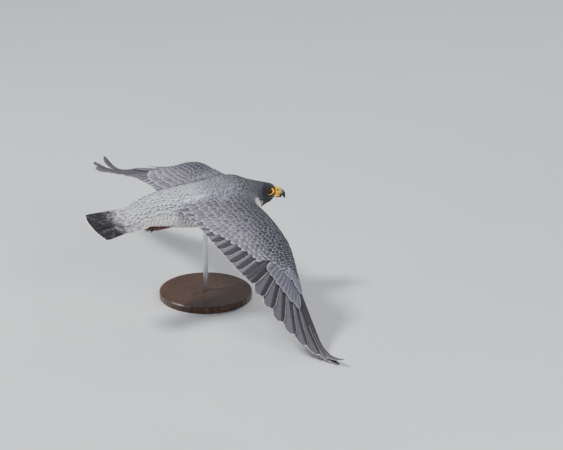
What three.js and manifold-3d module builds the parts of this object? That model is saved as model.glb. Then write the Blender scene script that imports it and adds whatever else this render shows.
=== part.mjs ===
// A peregrine falcon in level flight, life size, held by a rod on a round display base.
// Millimetres, +Z up. The bird heads along +X and its left wing points along +Y.
// The origin is the centre of the base's underside. The bird banks a little to its right.
import * as THREE from "three";
import { mergeVertices } from "three/addons/utils/BufferGeometryUtils.js";
import Module from "manifold-3d";

const wasm = await Module();
wasm.setup();

// Driving sizes.
const GAP = 0.3; // between touching pieces
const FLIGHT_BANK = THREE.MathUtils.degToRad(8.7); // right wing down
const FLIGHT_PITCH = THREE.MathUtils.degToRad(8.4); // bill down
const BIRD_HEIGHT = 196; // the bird's middle above the floor, so its wing tips clear it
const BASE_RADIUS = 92;
const BASE_HEIGHT = 14;
const BASE_CHAMFER = 2;
const ROD_RADIUS = 5;
const ROD_X = -34;

const WING_ROOT_Y = 36; // wing root from the body's mid plane
const WING_ROOT_Z = 15.6;
const ARM_DROOP = THREE.MathUtils.degToRad(8.5);
const HAND_DROOP = THREE.MathUtils.degToRad(27.4);
const DROOP_FROM_Y = 90;
const DROOP_OVER_Y = 110;
const TWIST_ROOT = THREE.MathUtils.degToRad(8.5); // leading edge up
const TWIST_TIP = THREE.MathUtils.degToRad(0.9);
const TWIST_PIVOT_X = -100;
const LEFT_FORWARD = 10; // the left wrist is held this much further forward
const LEFT_LOWER = 9; // and this much lower

const EYE_RADIUS = 8;
const HEAD_AT = new THREE.Vector3(100.5, -12, 25.1); // between the eyes
const HEAD_TURN = THREE.MathUtils.degToRad(24); // towards the bird's right

const VANE_EDGE = 0.5; // thickness of a feather at its edges
const VANE_SHAFT = 1.0; // and along its shaft

const TAIL_AT = new THREE.Vector3(-141, 0, -8);
const TAIL_DROOP = THREE.MathUtils.degToRad(10.2);
const TAIL_ROLL = THREE.MathUtils.degToRad(9);

const clamp01 = (t) => Math.min(1, Math.max(0, t));
const deg = THREE.MathUtils.degToRad;
const smooth = (t) => clamp01(t) ** 2 * (3 - 2 * clamp01(t));
const mix = (a, b, t) => a + (b - a) * t;

// Seeded draw in -1..1, for the small differences between like feathers.
let seed = 7;
const vary = () => {
  seed = (seed * 16807) % 2147483647;
  return (seed / 2147483647) * 2 - 1;
};

// A closed solid from points and triangles, with its faces turned outwards.
function closed(points, triangles) {
  let volume = 0;
  for (const [a, b, c] of triangles)
    volume += points[a].dot(points[b].clone().cross(points[c]));
  const triVerts = new Uint32Array(
    triangles.flatMap(([a, b, c]) => (volume > 0 ? [a, b, c] : [a, c, b])),
  );
  const vertProperties = new Float32Array(points.flatMap((p) => [p.x, p.y, p.z]));
  return new wasm.Manifold(new wasm.Mesh({ numProp: 3, vertProperties, triVerts }));
}

// A solid through a stack of rings with equal counts; both ends close on their middles.
function stack(rings) {
  const n = rings[0].length;
  const points = rings.flat();
  const triangles = [];
  for (let i = 0; i + 1 < rings.length; i++)
    for (let k = 0; k < n; k++) {
      const a = i * n + k;
      const b = i * n + ((k + 1) % n);
      triangles.push([a, b, b + n], [a, b + n, a + n]);
    }
  for (const end of [0, rings.length - 1]) {
    const middle = new THREE.Vector3();
    rings[end].forEach((p) => middle.addScaledVector(p, 1 / n));
    points.push(middle);
    for (let k = 0; k < n; k++) {
      const edge = [end * n + k, end * n + ((k + 1) % n)];
      triangles.push([...(end ? edge : edge.reverse()), points.length - 1]);
    }
  }
  return closed(points, triangles);
}

// Values between the rows of a table, along its first column, as a smooth curve.
function rowsAt(table, steps) {
  const columns = table[0].map((_, c) => table.map((row) => row[c]));
  const last = table.length - 1;
  return Array.from({ length: steps + 1 }, (_, s) => {
    const t = (s / steps) * last;
    const i = Math.min(last - 1, Math.floor(t));
    const f = t - i;
    return columns.map((v) => {
      const before = v[Math.max(0, i - 1)];
      const after = v[Math.min(last, i + 2)];
      const slopeA = (v[i + 1] - before) / 2;
      const slopeB = (after - v[i]) / 2;
      const rise = v[i + 1] - v[i];
      return v[i] + f * (slopeA + f * (3 * rise - 2 * slopeA - slopeB + f * (slopeA + slopeB - 2 * rise)));
    });
  });
}

// A body along a path. Each row holds x, y, z of the middle, then half width,
// height above and depth below.
function loft(table, { steps, sides, grow = 0, power = 2.2, place = (p) => p }) {
  const rows = rowsAt(table, steps);
  const middles = rows.map(([x, y, z]) => new THREE.Vector3(x, y, z));
  const rings = rows.map(([, , , wide, above, below], i) => {
    const next = middles[Math.min(rows.length - 1, i + 1)];
    const along = next.clone().sub(middles[Math.max(0, i - 1)]).normalize();
    const side = new THREE.Vector3(0, 0, 1).cross(along).normalize();
    const up = along.clone().cross(side);
    const end = i === 0 ? -grow : i === rows.length - 1 ? grow : 0;
    return Array.from({ length: sides }, (_, k) => {
      const angle = (2 * Math.PI * k) / sides;
      const c = Math.cos(angle);
      const s = Math.sin(angle);
      const u = Math.sign(c) * Math.abs(c) ** (2 / power) * (wide + grow);
      const v = Math.sign(s) * Math.abs(s) ** (2 / power) * ((s > 0 ? above : below) + grow);
      const point = middles[i].clone().addScaledVector(side, u).addScaledVector(up, v);
      return place(point.addScaledVector(along, end));
    });
  });
  return stack(rings);
}

// One feather: a thin blade that leaves `root` at `heading` (from +Y towards -X).
// It bows backwards, swings out and back in by `swing`, and curls up past `curlFrom`.
// `lead` is the share of the width in front of the shaft, and `tilt` raises the leading
// edge over the next feather. `blunt` rounds the tip and `narrow` cuts its vane away.
const ROOT_WIDTH = 0.55; // share of the full width at the root
const TIP_CUT = 0.66; // share of the width that the tip loses
const CURL_REACH = 0.7; // share of the curl that the tip reaches
function feather({
  root, heading, length, width, lead = 0.35, tilt = 0.12, rise = 0, bow = 0, swing = 0, curl = 0,
  curlFrom = 0.5, blunt = 14, narrow = 0, steps = 5, thick = 1, place = (p) => p,
}) {
  const at = new THREE.Vector3(...root);
  const up = new THREE.Vector3(0, 0, 1);
  const stations = Array.from({ length: steps + 1 }, (_, i) => 1 - (1 - i / steps) ** 1.7);
  const rings = stations.map((u, i) => {
    const turn = heading + bow * u + swing * (1 - 2 * u);
    const flat = new THREE.Vector3(-Math.sin(turn), Math.cos(turn), 0);
    const front = new THREE.Vector3(Math.cos(turn), Math.sin(turn), 0);
    const climb = rise + curl * smooth((u - curlFrom) / (1 - curlFrom)) * CURL_REACH;
    const along = flat.clone().multiplyScalar(Math.cos(climb)).addScaledVector(up, Math.sin(climb));
    if (i) at.addScaledVector(along, length * (u - stations[i - 1]));
    const normal = up.clone().multiplyScalar(Math.cos(climb)).addScaledVector(flat, -Math.sin(climb));
    const widening = ROOT_WIDTH + (1 - ROOT_WIDTH) * smooth(u / 0.35);
    const shape = widening * (1 - TIP_CUT * u ** blunt) * (1 - narrow * smooth((u - 0.45) / 0.3));
    const edge = (share, half, sign) =>
      at.clone().addScaledVector(front, share * width * shape)
        .addScaledVector(normal, share * width * shape * tilt * (1 - 0.3 * u) + sign * half * thick);
    const ring = [
      edge(lead, VANE_EDGE / 2, 1), edge(0, VANE_SHAFT / 2, 1), edge(lead - 1, VANE_EDGE / 2, 1),
      edge(lead - 1, VANE_EDGE / 2, -1), edge(0, VANE_SHAFT / 2, -1), edge(lead, VANE_EDGE / 2, -1),
    ];
    return ring.map(place);
  });
  const n = 6;
  const triangles = [];
  for (let i = 0; i < steps; i++)
    for (let k = 0; k < n; k++) {
      const a = i * n + k;
      const b = i * n + ((k + 1) % n);
      // The lower face takes the same diagonals as the upper one.
      if (k < 3) triangles.push([a, b, b + n], [a, b + n, a + n]);
      else triangles.push([a, b, a + n], [b, b + n, a + n]);
    }
  const cap = [[0, 4, 1], [0, 5, 4], [1, 3, 2], [1, 4, 3]];
  triangles.push(...cap);
  triangles.push(...cap.map(([a, b, c]) => [a + steps * n, c + steps * n, b + steps * n]));
  return closed(rings.flat(), triangles);
}

const fuse = (pieces) => pieces.reduce((all, piece) => all.add(piece));
const largest = (body) => body.decompose().reduce((a, b) => (b.volume() > a.volume() ? b : a));

// A large block, the half space beyond a plane, for parting a body with thin cuts.
function beyond(point, normal) {
  const block = new THREE.BoxGeometry(800, 800, 800).translate(0, 0, 400);
  const up = new THREE.Vector3(0, 0, 1);
  const turn = new THREE.Quaternion().setFromUnitVectors(up, normal.clone().normalize());
  block.applyQuaternion(turn).translate(point.x, point.y, point.z);
  return fromGeometry(block);
}

function fromGeometry(geometry) {
  const bare = new THREE.BufferGeometry().setAttribute("position", geometry.getAttribute("position"));
  if (geometry.index) bare.setIndex(geometry.index);
  const merged = mergeVertices(bare, 1e-4);
  const p = merged.getAttribute("position");
  const points = Array.from({ length: p.count }, (_, i) => new THREE.Vector3().fromBufferAttribute(p, i));
  const index = Array.from(merged.index.array);
  return closed(points, Array.from({ length: index.length / 3 }, (_, i) => index.slice(3 * i, 3 * i + 3)));
}

function toGeometry(body) {
  const { vertProperties, triVerts, numProp } = body.getMesh();
  const geometry = new THREE.BufferGeometry();
  geometry.setAttribute("position", new THREE.BufferAttribute(new Float32Array(vertProperties), numProp));
  geometry.setIndex(new THREE.BufferAttribute(new Uint32Array(triVerts), 1));
  return geometry;
}

// Trunk: rump, back, breast and neck in one body along the bird's length, later parted by thin cuts.
// Rows run from the tail root to the back of the head: x, y, z, half width, above, below.
const TRUNK = [
  [-238, 0, -29, 12, 3, 4],
  [-215, 0, -22, 27, 11, 13],
  [-190, 0, -16, 31, 20, 22],
  [-165, 0, -11, 35, 28, 27],
  [-130, 0, -7, 40, 34, 33],
  [-90, 0, -5, 44, 39, 38],
  [-45, 0, -4, 48, 44, 43],
  [5, 0, -2, 52, 50.5, 44],
  [40, -1, 5, 46, 46, 42],
  [66, -3, 11, 35, 32, 36],
  [88, -9, 18, 27, 20, 30],
  [104, -15, 21, 20, 15, 23],
];
const trunk = (grow = 0) => loft(TRUNK, { steps: 16, sides: 22, grow });

const TAIL_CUT = new THREE.Vector3(-150, 0, 0);
const NECK_CUT = new THREE.Vector3(50, 0, 0);
const HEAD_CUT = new THREE.Vector3(80, -6, 17);
const backwards = new THREE.Vector3(-1, 0, 0);
const neckwards = new THREE.Vector3(0.97, -0.1, 0.22);
const headwards = new THREE.Vector3(0.93, -0.28, 0.22);
const past = (point, direction, distance) =>
  point.clone().addScaledVector(direction.clone().normalize(), distance);

// Head frame: x ahead, y to the bird's left, z up, from the point between the eyes.
// The head is held level while the body banks, so it is rolled back by the bank.
function headPlace(p) {
  return new THREE.Vector3(p.x, p.y, p.z)
    .applyAxisAngle(new THREE.Vector3(1, 0, 0), -FLIGHT_BANK)
    .applyAxisAngle(new THREE.Vector3(0, 0, 1), -HEAD_TURN)
    .add(HEAD_AT);
}

const SKULL = [
  [-33, 0, -8, 9, 6, 12],
  [-26, 0, -5, 19, 10, 23],
  [-14, 0, -2, 22, 12, 29],
  [0, 0, -1.6, 20.6, 12.8, 28.5],
  [8, 0, -1, 18, 11.5, 25],
  [14, 0, -1, 13.5, 8.4, 19],
  [18, 0, -1, 8, 4, 14],
];
const EYE_AT = new THREE.Vector3(1, 15, -0.4);
const eye = (side, radius) =>
  fromGeometry(
    new THREE.SphereGeometry(radius, 12, 8).rotateX(Math.PI / 2)
      .translate(...headPlace(new THREE.Vector3(EYE_AT.x, side * EYE_AT.y, EYE_AT.z))),
  );

// The bony brow that shades a falcon's eye.
const brow = (side) =>
  loft(
    [
      [-10, side * 18.6, 3.4, 3, 2.4, 4], [-2, side * 19, 6.4, 3.4, 1.6, 4],
      [6, side * 16.6, 6.2, 3.2, 1.5, 4], [14, side * 11, 4, 2, 1.2, 2.5],
    ],
    { steps: 4, sides: 6, place: headPlace },
  );

// The bare ring of lid round each eye.
const lids = (side) => {
  const ring = new THREE.TorusGeometry(6.9, 1.3, 5, 12).rotateX(Math.PI / 2).rotateZ(-side * 0.3);
  ring.translate(EYE_AT.x + 1.6, side * 19.4, EYE_AT.z);
  const body = fromGeometry(ring);
  return body.transform(frameMatrix(headPlace).elements);
};

// The matrix of a rigid placing function.
function frameMatrix(place) {
  const origin = place(new THREE.Vector3());
  const axes = [[1, 0, 0], [0, 1, 0], [0, 0, 1]].map((a) => place(new THREE.Vector3(...a)).sub(origin));
  return new THREE.Matrix4().makeBasis(...axes).setPosition(origin);
}

const BILL = [
  [13, 0, -2.1, 8.4, 9.4, 8.5],
  [19, 0, -1.7, 7.8, 8.6, 8],
  [25, 0, -2.3, 6.6, 7.6, 7],
  [30.5, 0, -4.1, 5.2, 6.2, 5.8],
  [35, 0, -7.6, 3.6, 4.4, 4],
  [37.8, 0, -12.1, 2, 2.4, 2.2],
  [38.6, 0, -17.1, 0.5, 0.6, 0.5],
];
const CERE_END = 24;
const CERE_SWELL = 0.4; // the cere stands this proud of the horn
const bill = (grow = 0) => loft(BILL, { steps: 11, sides: 12, grow, power: 2, place: headPlace });
const LOWER_BILL = [
  [9.5, 0, -11.2, 8.4, 3.6, 3.6],
  [17, 0, -12.2, 7.2, 4.2, 3.6],
  [25, 0, -12.6, 5.6, 4.2, 3],
  [32, 0, -12.8, 3, 2.8, 1.8],
];
const lowerBill = (grow = 0) => loft(LOWER_BILL, { steps: 6, sides: 10, grow, power: 2, place: headPlace });

const ahead = new THREE.Vector3(Math.cos(HEAD_TURN), -Math.sin(HEAD_TURN), 0);
const cereFront = headPlace(new THREE.Vector3(CERE_END, 0, 0));
const nostril = (side) => {
  const hole = new THREE.CylinderGeometry(1.5, 1.5, 6, 7).translate(20.6, side * 8.2, 1.5);
  return fromGeometry(hole).transform(frameMatrix(headPlace).elements);
};

const skullAndNeck = loft(SKULL, { steps: 10, sides: 18, power: 2.3, place: headPlace })
  .add(trunk().intersect(beyond(past(HEAD_CUT, headwards, GAP), headwards)));
const head = largest(
  fuse([skullAndNeck, brow(1), brow(-1), lids(1), lids(-1)])
    .subtract(beyond(HEAD_CUT, headwards.clone().negate()))
    .subtract(beyond(past(HEAD_CUT, headwards, GAP), headwards.clone().negate()))
    .subtract(eye(1, EYE_RADIUS + GAP))
    .subtract(eye(-1, EYE_RADIUS + GAP))
    .subtract(bill(CERE_SWELL + GAP))
    .subtract(lowerBill(GAP)),
);
const neck = largest(
  trunk()
    .intersect(beyond(past(NECK_CUT, neckwards, GAP), neckwards))
    .subtract(beyond(HEAD_CUT, headwards)),
);
const billTip = largest(
  bill()
    .intersect(beyond(past(cereFront, ahead, GAP), ahead))
    .subtract(lowerBill(GAP)),
);
const cere = largest(
  bill(CERE_SWELL)
    .subtract(beyond(cereFront, ahead))
    .subtract(lowerBill(GAP))
    .subtract(nostril(1))
    .subtract(nostril(-1)),
);

// Wing. It is laid out flat, x ahead and y outwards, then drooped along its span and twisted.
const SPAN_STEPS = 240;
const SPAN_END = 520;
const droopAt = (y) => -mix(ARM_DROOP, HAND_DROOP, smooth((y - DROOP_FROM_Y) / DROOP_OVER_Y));
const spanCurve = [{ y: WING_ROOT_Y, out: WING_ROOT_Y, z: WING_ROOT_Z }];
for (let i = 1; i <= SPAN_STEPS; i++) {
  const dy = (SPAN_END - WING_ROOT_Y) / SPAN_STEPS;
  const last = spanCurve[i - 1];
  const angle = droopAt(last.y + dy / 2);
  spanCurve.push({
    y: last.y + dy,
    out: last.out + dy * Math.cos(angle),
    z: last.z + dy * Math.sin(angle),
  });
}
function wingPlace(side) {
  return (p) => {
    const t = ((p.y - WING_ROOT_Y) / (SPAN_END - WING_ROOT_Y)) * SPAN_STEPS;
    const i = Math.min(SPAN_STEPS - 1, Math.max(0, Math.floor(t)));
    const out = mix(spanCurve[i].out, spanCurve[i + 1].out, t - i);
    const height = mix(spanCurve[i].z, spanCurve[i + 1].z, t - i);
    const angle = droopAt(p.y);
    const twist = mix(TWIST_ROOT, TWIST_TIP, smooth((p.y - 60) / 250));
    const atWrist = side > 0 ? smooth((p.y - 30) / 80) * (1 - smooth((p.y - 200) / 130)) : 0;
    const chord = p.x + LEFT_FORWARD * atWrist - TWIST_PIVOT_X;
    const lift = p.z + chord * Math.sin(twist) - LEFT_LOWER * atWrist;
    return new THREE.Vector3(
      TWIST_PIVOT_X + chord * Math.cos(twist),
      side * (out - lift * Math.sin(angle)),
      height + lift * Math.cos(angle),
    );
  };
}

// The fleshy front of the wing, as sections from root to finger: y, leading x, chord, thickness, height.
const FLESH = [
  [20, 33, 94, 22, -6],
  [50, 32, 80, 20, -2],
  [85, 32, 66, 16, -1],
  [120, 37, 58, 14, 0],
  [150, 42, 54, 13, 0],
  [180, 47, 54, 13, 0],
  [205, 47, 48, 11, 0],
  [235, 43, 33, 8, 0],
  [262, 37, 20, 6, 0],
  [282, 33, 12, 3, 0],
];
const fleshAt = (y) => {
  const i = Math.max(0, Math.min(FLESH.length - 2, FLESH.findIndex((row) => row[0] > y) - 1));
  const t = (y - FLESH[i][0]) / (FLESH[i + 1][0] - FLESH[i][0]);
  return FLESH[i].map((v, c) => mix(v, FLESH[i + 1][c], t));
};
// Half thickness along the chord: a round front that thins to the rear.
const SECTION = [
  [0, 0], [0.04, 0.24], [0.16, 0.45], [0.36, 0.5], [0.62, 0.36], [0.86, 0.22], [1, 0.13],
];
function flesh(side) {
  const place = wingPlace(side);
  const rings = rowsAt(FLESH, 10).map(([y, lead, chord, thick, z]) => {
    const point = ([c, t], sign) => place(new THREE.Vector3(lead - c * chord, y, z + sign * t * thick));
    const above = SECTION.map((row) => point(row, 1));
    const below = SECTION.slice(1).reverse().map((row) => point(row, -0.8));
    return [...above, ...below];
  });
  return stack(rings);
}

// Flight feathers. Rows of tips were read off the spread wing: x, y of each tip, from the wrist outwards.
const WRIST_Y = 196; // the arm's feathers root inside this, the hand's outside
const PRIMARY_TIPS = [[-74, 255], [-66, 288], [-56, 320], [-46, 354], [-31, 387], [-16, 416]];
const OUTER_TIPS = {
  left: [[0, 438], [12, 456], [18, 474], [16, 440]],
  right: [[2, 442], [14, 466], [25, 487], [29, 497]],
};
const PRIMARY_CURL = {
  left: [0.04, 0.05, 0.07, 0.1, 0.15, 0.25, 0.3, 0.4, 0.55, 1.1],
  right: [0.04, 0.05, 0.07, 0.1, 0.15, 0.2, 0.3, 0.5, 0.8, 1.3],
};
const PRIMARY_SWING = [0, 0, 0, 0, 0.03, 0.06, 0.09, 0.13, 0.17, 0.21];
const SECONDARY_TIPS = [
  [-128, 44], [-124, 61], [-121, 78], [-119, 96], [-118, 113], [-117, 131],
  [-114, 149], [-110, 167], [-104, 185], [-98, 203], [-91, 220], [-84, 236], [-79, 245],
];

// A feather of the wing from its root to its tip, both in the flat layout.
function wingFeather(side, [x0, y0, z0], [x1, y1], options) {
  const heading = Math.atan2(x0 - x1, y1 - y0);
  const length = Math.hypot(x1 - x0, y1 - y0);
  return feather({ root: [x0, y0, z0], heading, length, place: wingPlace(side), ...options });
}

function primaries(side) {
  const hand = side > 0 ? "left" : "right";
  const tips = [...PRIMARY_TIPS, ...OUTER_TIPS[hand]];
  return tips.map((tip, i) => {
    const t = i / (tips.length - 1);
    const root = [mix(12, 33, t), mix(202, 264, t), 0];
    return wingFeather(side, root, tip, {
      width: mix(30, 21, t), lead: mix(0.36, 0.24, t), tilt: 0.13, bow: mix(0.02, 0.1, t),
      swing: PRIMARY_SWING[i], curl: PRIMARY_CURL[hand][i], curlFrom: 0.55,
      narrow: i > 6 ? 0.35 : 0, blunt: mix(12, 5, t), steps: i > 5 ? 6 : 3, thick: 1.15,
    });
  });
}

function secondaries(side) {
  return SECONDARY_TIPS.map((tip, i) => {
    const t = i / (SECONDARY_TIPS.length - 1);
    const y = mix(50, 198, t);
    const [, lead, chord] = fleshAt(y);
    return wingFeather(side, [lead - chord + 14, y, 0], [tip[0] + vary(), tip[1]], {
      width: 27, lead: 0.42, tilt: 0.1, bow: 0.05, steps: 3,
    });
  });
}

// One tier of coverts: `count` feathers whose roots and tips follow two lines from y0 to y1.
// `back` places the roots along the chord, and z is the height at root and tip.
function tier(side, { count, y0, y1, back, length, width, z, fan }) {
  return Array.from({ length: count }, (_, i) => {
    const t = i / (count - 1);
    const y = mix(y0, y1, t);
    const [, lead, chord] = fleshAt(y);
    const reach = mix(length[0], length[1], t) * (1 + 0.04 * vary());
    return feather({
      root: [lead - chord * back, y, z[0]], heading: deg(mix(fan[0], fan[1], t)), length: reach,
      width: mix(width[0], width[1], t), rise: Math.atan2(z[1] - z[0], reach),
      tilt: 0.06, lead: 0.42, blunt: 9, steps: 2, place: wingPlace(side),
    });
  });
}

const trunkGrown = trunk(GAP);
function wingArm(side) {
  const inner = beyond(new THREE.Vector3(0, side * 14, 0), new THREE.Vector3(0, -side, 0));
  const feathers = [
    ...secondaries(side),
    ...tier(side, {
      count: 10, y0: 66, y1: 188, back: 0.6, length: [72, 62], width: [24, 20],
      z: [2.2, 3.9], fan: [94, 66],
    }),
    ...tier(side, {
      count: 8, y0: 68, y1: 182, back: 0.35, length: [58, 50], width: [24, 21],
      z: [4, 6.6], fan: [94, 70],
    }),
  ];
  return largest(
    fuse([flesh(side), ...feathers])
      .subtract(trunkGrown)
      .subtract(inner)
      .subtract(handSpace(side)),
  );
}

// The plane between arm and hand. It runs from the wrist to the gap between the two sets
// of flight feathers.
function handSpace(side, gap = 0) {
  const place = wingPlace(side);
  const at = place(new THREE.Vector3(30, WRIST_Y, 0));
  const rearwards = place(new THREE.Vector3(-78, 246, 0)).sub(at);
  const upwards = place(new THREE.Vector3(30, WRIST_Y, 10)).sub(at);
  const outwards = upwards.cross(rearwards).normalize().multiplyScalar(-side);
  return beyond(past(at, outwards, gap), outwards);
}
function wingHand(side) {
  const feathers = [
    ...primaries(side),
    ...tier(side, {
      count: 8, y0: 206, y1: 264, back: 0.5, length: [58, 66], width: [21, 15],
      z: [1.4, 3.6], fan: [56, 20],
    }),
    ...tier(side, {
      count: 3, y0: 214, y1: 232, back: 0.12, length: [50, 62], width: [13, 11],
      z: [2.4, 6.2], fan: [24, 14],
    }),
  ];
  return largest(fuse([flesh(side), ...feathers]).intersect(handSpace(side, GAP)));
}

// Tail: a short fleshy root, twelve long feathers spread in a fan, and two tiers of coverts.
function tailPlace(p) {
  const bank = new THREE.Vector3(p.x, p.y, p.z).applyAxisAngle(new THREE.Vector3(1, 0, 0), TAIL_ROLL);
  return bank.applyAxisAngle(new THREE.Vector3(0, 1, 0), -TAIL_DROOP).add(TAIL_AT);
}
const TAIL_FEATHERS = 12;
const TAIL_ROOT_HALF = 18;
const TAIL_SPREAD = deg(7.2);
function tailFan() {
  const half = (TAIL_FEATHERS - 1) / 2;
  const blades = Array.from({ length: TAIL_FEATHERS }, (_, i) => {
    const k = (i - half) / half;
    const side = Math.sign(k);
    // The middle feathers lie over the outer ones, and the fan arches down at its sides.
    const sheet = (1 - Math.abs(k)) * 3.2;
    return feather({
      root: [-14, k * TAIL_ROOT_HALF, -2 + sheet], heading: deg(90) - k * TAIL_SPREAD, length: 143 - 7 * k * k,
      width: 24, lead: side > 0 ? 0.38 : 0.62, tilt: -side * 0.07, steps: 3, place: tailPlace,
    });
  });
  const coverts = (face, { count, spread, z, reach, width }) =>
    Array.from({ length: count }, (_, i) => {
      const k = (2 * i) / (count - 1) - 1;
      return feather({
        root: [-50, k * spread, z[0] - 2.5 * k * k * face], heading: deg(90) - k * deg(9),
        length: reach - 10 * k * k, width, lead: k > 0 ? 0.42 : 0.58,
        tilt: -Math.sign(k) * face * 0.05, rise: Math.atan2(z[1] - z[0], reach),
        blunt: 6, steps: 2, place: tailPlace,
      });
    });
  return [
    ...blades,
    ...coverts(1, { count: 5, spread: 16, z: [5, 4], reach: 62, width: 26 }),
    ...coverts(-1, { count: 4, spread: 15, z: [-6, -5], reach: 52, width: 28 }),
  ];
}
const behindTailCut = beyond(past(TAIL_CUT, backwards, GAP), backwards);
const tail = largest(fuse([trunk(), ...tailFan()]).intersect(behindTailCut));

// Legs, drawn up under the body in flight. The thigh is feathered, the rest is bare and scaled.
const FOOT_Z = -40;
const shank = (side, grow = 0) =>
  loft(
    [
      [-108, side * 17, -34, 4.4, 4, 4.4], [-128, side * 16.5, -38.5, 3.8, 3.6, 3.8],
      [-144, side * 16, FOOT_Z, 4.2, 3.8, 4.2],
    ],
    { steps: 5, sides: 10, grow },
  );
const thighMass = (side, grow = 0) =>
  loft(
    [
      [-45, side * 24, -22, 12, 12, 12], [-68, side * 26, -23, 16, 15, 15],
      [-95, side * 22, -27, 13, 12, 12], [-118, side * 18, -33, 7, 6, 7],
    ],
    { steps: 7, sides: 14, grow },
  );
const thigh = (side) => largest(thighMass(side).subtract(shank(side, GAP)));

// A trailing foot: four toes lie back from the pad, each with a claw that curves down.
// Each toe holds its splay in radians and its reach.
const TOES = [[0.36, 14], [0.12, 20], [-0.14, 21], [-0.4, 15]];
const PAD_X = -150;
function foot(side) {
  const y = side * 16;
  const pad = loft(
    [[-144.6, y, FOOT_Z, 4, 3.6, 4], [PAD_X, y, FOOT_Z, 6.4, 4, 4.2], [-157, y, FOOT_Z, 5, 3.4, 3.8]],
    { steps: 3, sides: 10 },
  );
  const toes = TOES.map(([splay, reach]) => {
    const out = (a, drop) => [PAD_X - Math.cos(splay) * a, y + Math.sin(splay) * a, FOOT_Z - drop];
    return loft(
      [
        [...out(0, 0), 3, 2.8, 3], [...out(reach * 0.6, 0), 3, 2.8, 2.8],
        [...out(reach, 0.8), 2.2, 2.2, 2.2], [...out(reach + 4, 2.2), 1.4, 1.4, 1.4],
        [...out(reach + 7, 5.2), 0.5, 0.5, 0.5],
      ],
      { steps: 5, sides: 5, power: 2 },
    );
  });
  return largest(fuse([pad, ...toes]).subtract(shank(side, GAP)).subtract(trunkGrown));
}

const legsGrown = fuse([1, -1].flatMap((side) => [thighMass(side, GAP), shank(side, GAP)]));
const torso = largest(
  trunk()
    .subtract(beyond(TAIL_CUT, backwards))
    .subtract(beyond(NECK_CUT, neckwards))
    .subtract(legsGrown),
);

// Stand: a round base with a chamfered edge, and one rod up to the belly.
const baseShape = [
  [0, 0], [BASE_RADIUS - 1, 0], [BASE_RADIUS, 1],
  [BASE_RADIUS, BASE_HEIGHT - BASE_CHAMFER],
  [BASE_RADIUS - BASE_CHAMFER, BASE_HEIGHT], [0, BASE_HEIGHT],
];
const baseOutline = baseShape.map(([r, z]) => new THREE.Vector2(r, z));
const base = new THREE.LatheGeometry(baseOutline, 40).rotateX(Math.PI / 2);

// Assembly.
const bird = {
  head, cere, bill_upper: billTip, bill_lower: largest(lowerBill()),
  eye_left: eye(1, EYE_RADIUS), eye_right: eye(-1, EYE_RADIUS), neck, torso, tail,
  wing_left_arm: wingArm(1), wing_left_hand: wingHand(1),
  wing_right_arm: wingArm(-1), wing_right_hand: wingHand(-1),
  thigh_left: thigh(1), thigh_right: thigh(-1),
  shank_left: shank(1), shank_right: shank(-1), foot_left: foot(1), foot_right: foot(-1),
};
const banked = new THREE.Matrix4().makeRotationX(FLIGHT_BANK);
const pose = new THREE.Matrix4().makeRotationY(FLIGHT_PITCH).multiply(banked);
const posed = Object.fromEntries(
  Object.entries(bird).map(([name, body]) => [name, body.transform(pose.elements)]),
);
const raised = new THREE.Matrix4().makeTranslation(-ROD_X, 0, BIRD_HEIGHT);

const belly = posed.torso.transform(raised.elements);
const rodBlank = new THREE.CylinderGeometry(ROD_RADIUS, ROD_RADIUS, BIRD_HEIGHT - BASE_HEIGHT - GAP, 24)
  .rotateX(Math.PI / 2)
  .translate(0, 0, (BIRD_HEIGHT + BASE_HEIGHT + GAP) / 2);
const rod = largest(
  fromGeometry(rodBlank)
    .subtract(belly)
    .subtract(belly.translate([0, 0, -GAP]))
    .subtract(belly.translate([0, 0, 30])),
);

const LOOKS = {
  plumage: [0x6f747f, 0.85], crown: [0x3c3e45, 0.8], horn: [0x2b2b30, 0.35], yellow: [0xf0a81c, 0.5],
  eye: [0x120c08, 0.08], breast: [0xd9d4c8, 0.85], wood: [0x3a2a20, 0.45], steel: [0x9a9ca0, 0.3],
};
const LOOK_OF = {
  head: "crown", neck: "crown", cere: "yellow", bill_upper: "horn", bill_lower: "yellow",
  eye_left: "eye", eye_right: "eye", thigh_left: "breast", thigh_right: "breast",
  shank_left: "yellow", shank_right: "yellow", foot_left: "yellow", foot_right: "yellow",
  stand_base: "wood", stand_rod: "steel",
};
const root = new THREE.Group();
function addPart(name, geometry) {
  const [color, roughness] = LOOKS[LOOK_OF[name] ?? "plumage"];
  const metalness = name === "stand_rod" ? 1 : 0;
  const mesh = new THREE.Mesh(geometry, new THREE.MeshStandardMaterial({ color, roughness, metalness }));
  mesh.name = name;
  root.add(mesh);
}
for (const [name, body] of Object.entries(posed))
  addPart(name, toGeometry(body.transform(raised.elements)));
addPart("stand_base", base);
addPart("stand_rod", toGeometry(rod));

export default root;
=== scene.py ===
"""A peregrine falcon in level flight, life size, on a rod over a round display base."""
import math

import bmesh
import bpy
import numpy as np
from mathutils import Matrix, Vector
from mathutils.bvhtree import BVHTree


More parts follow.
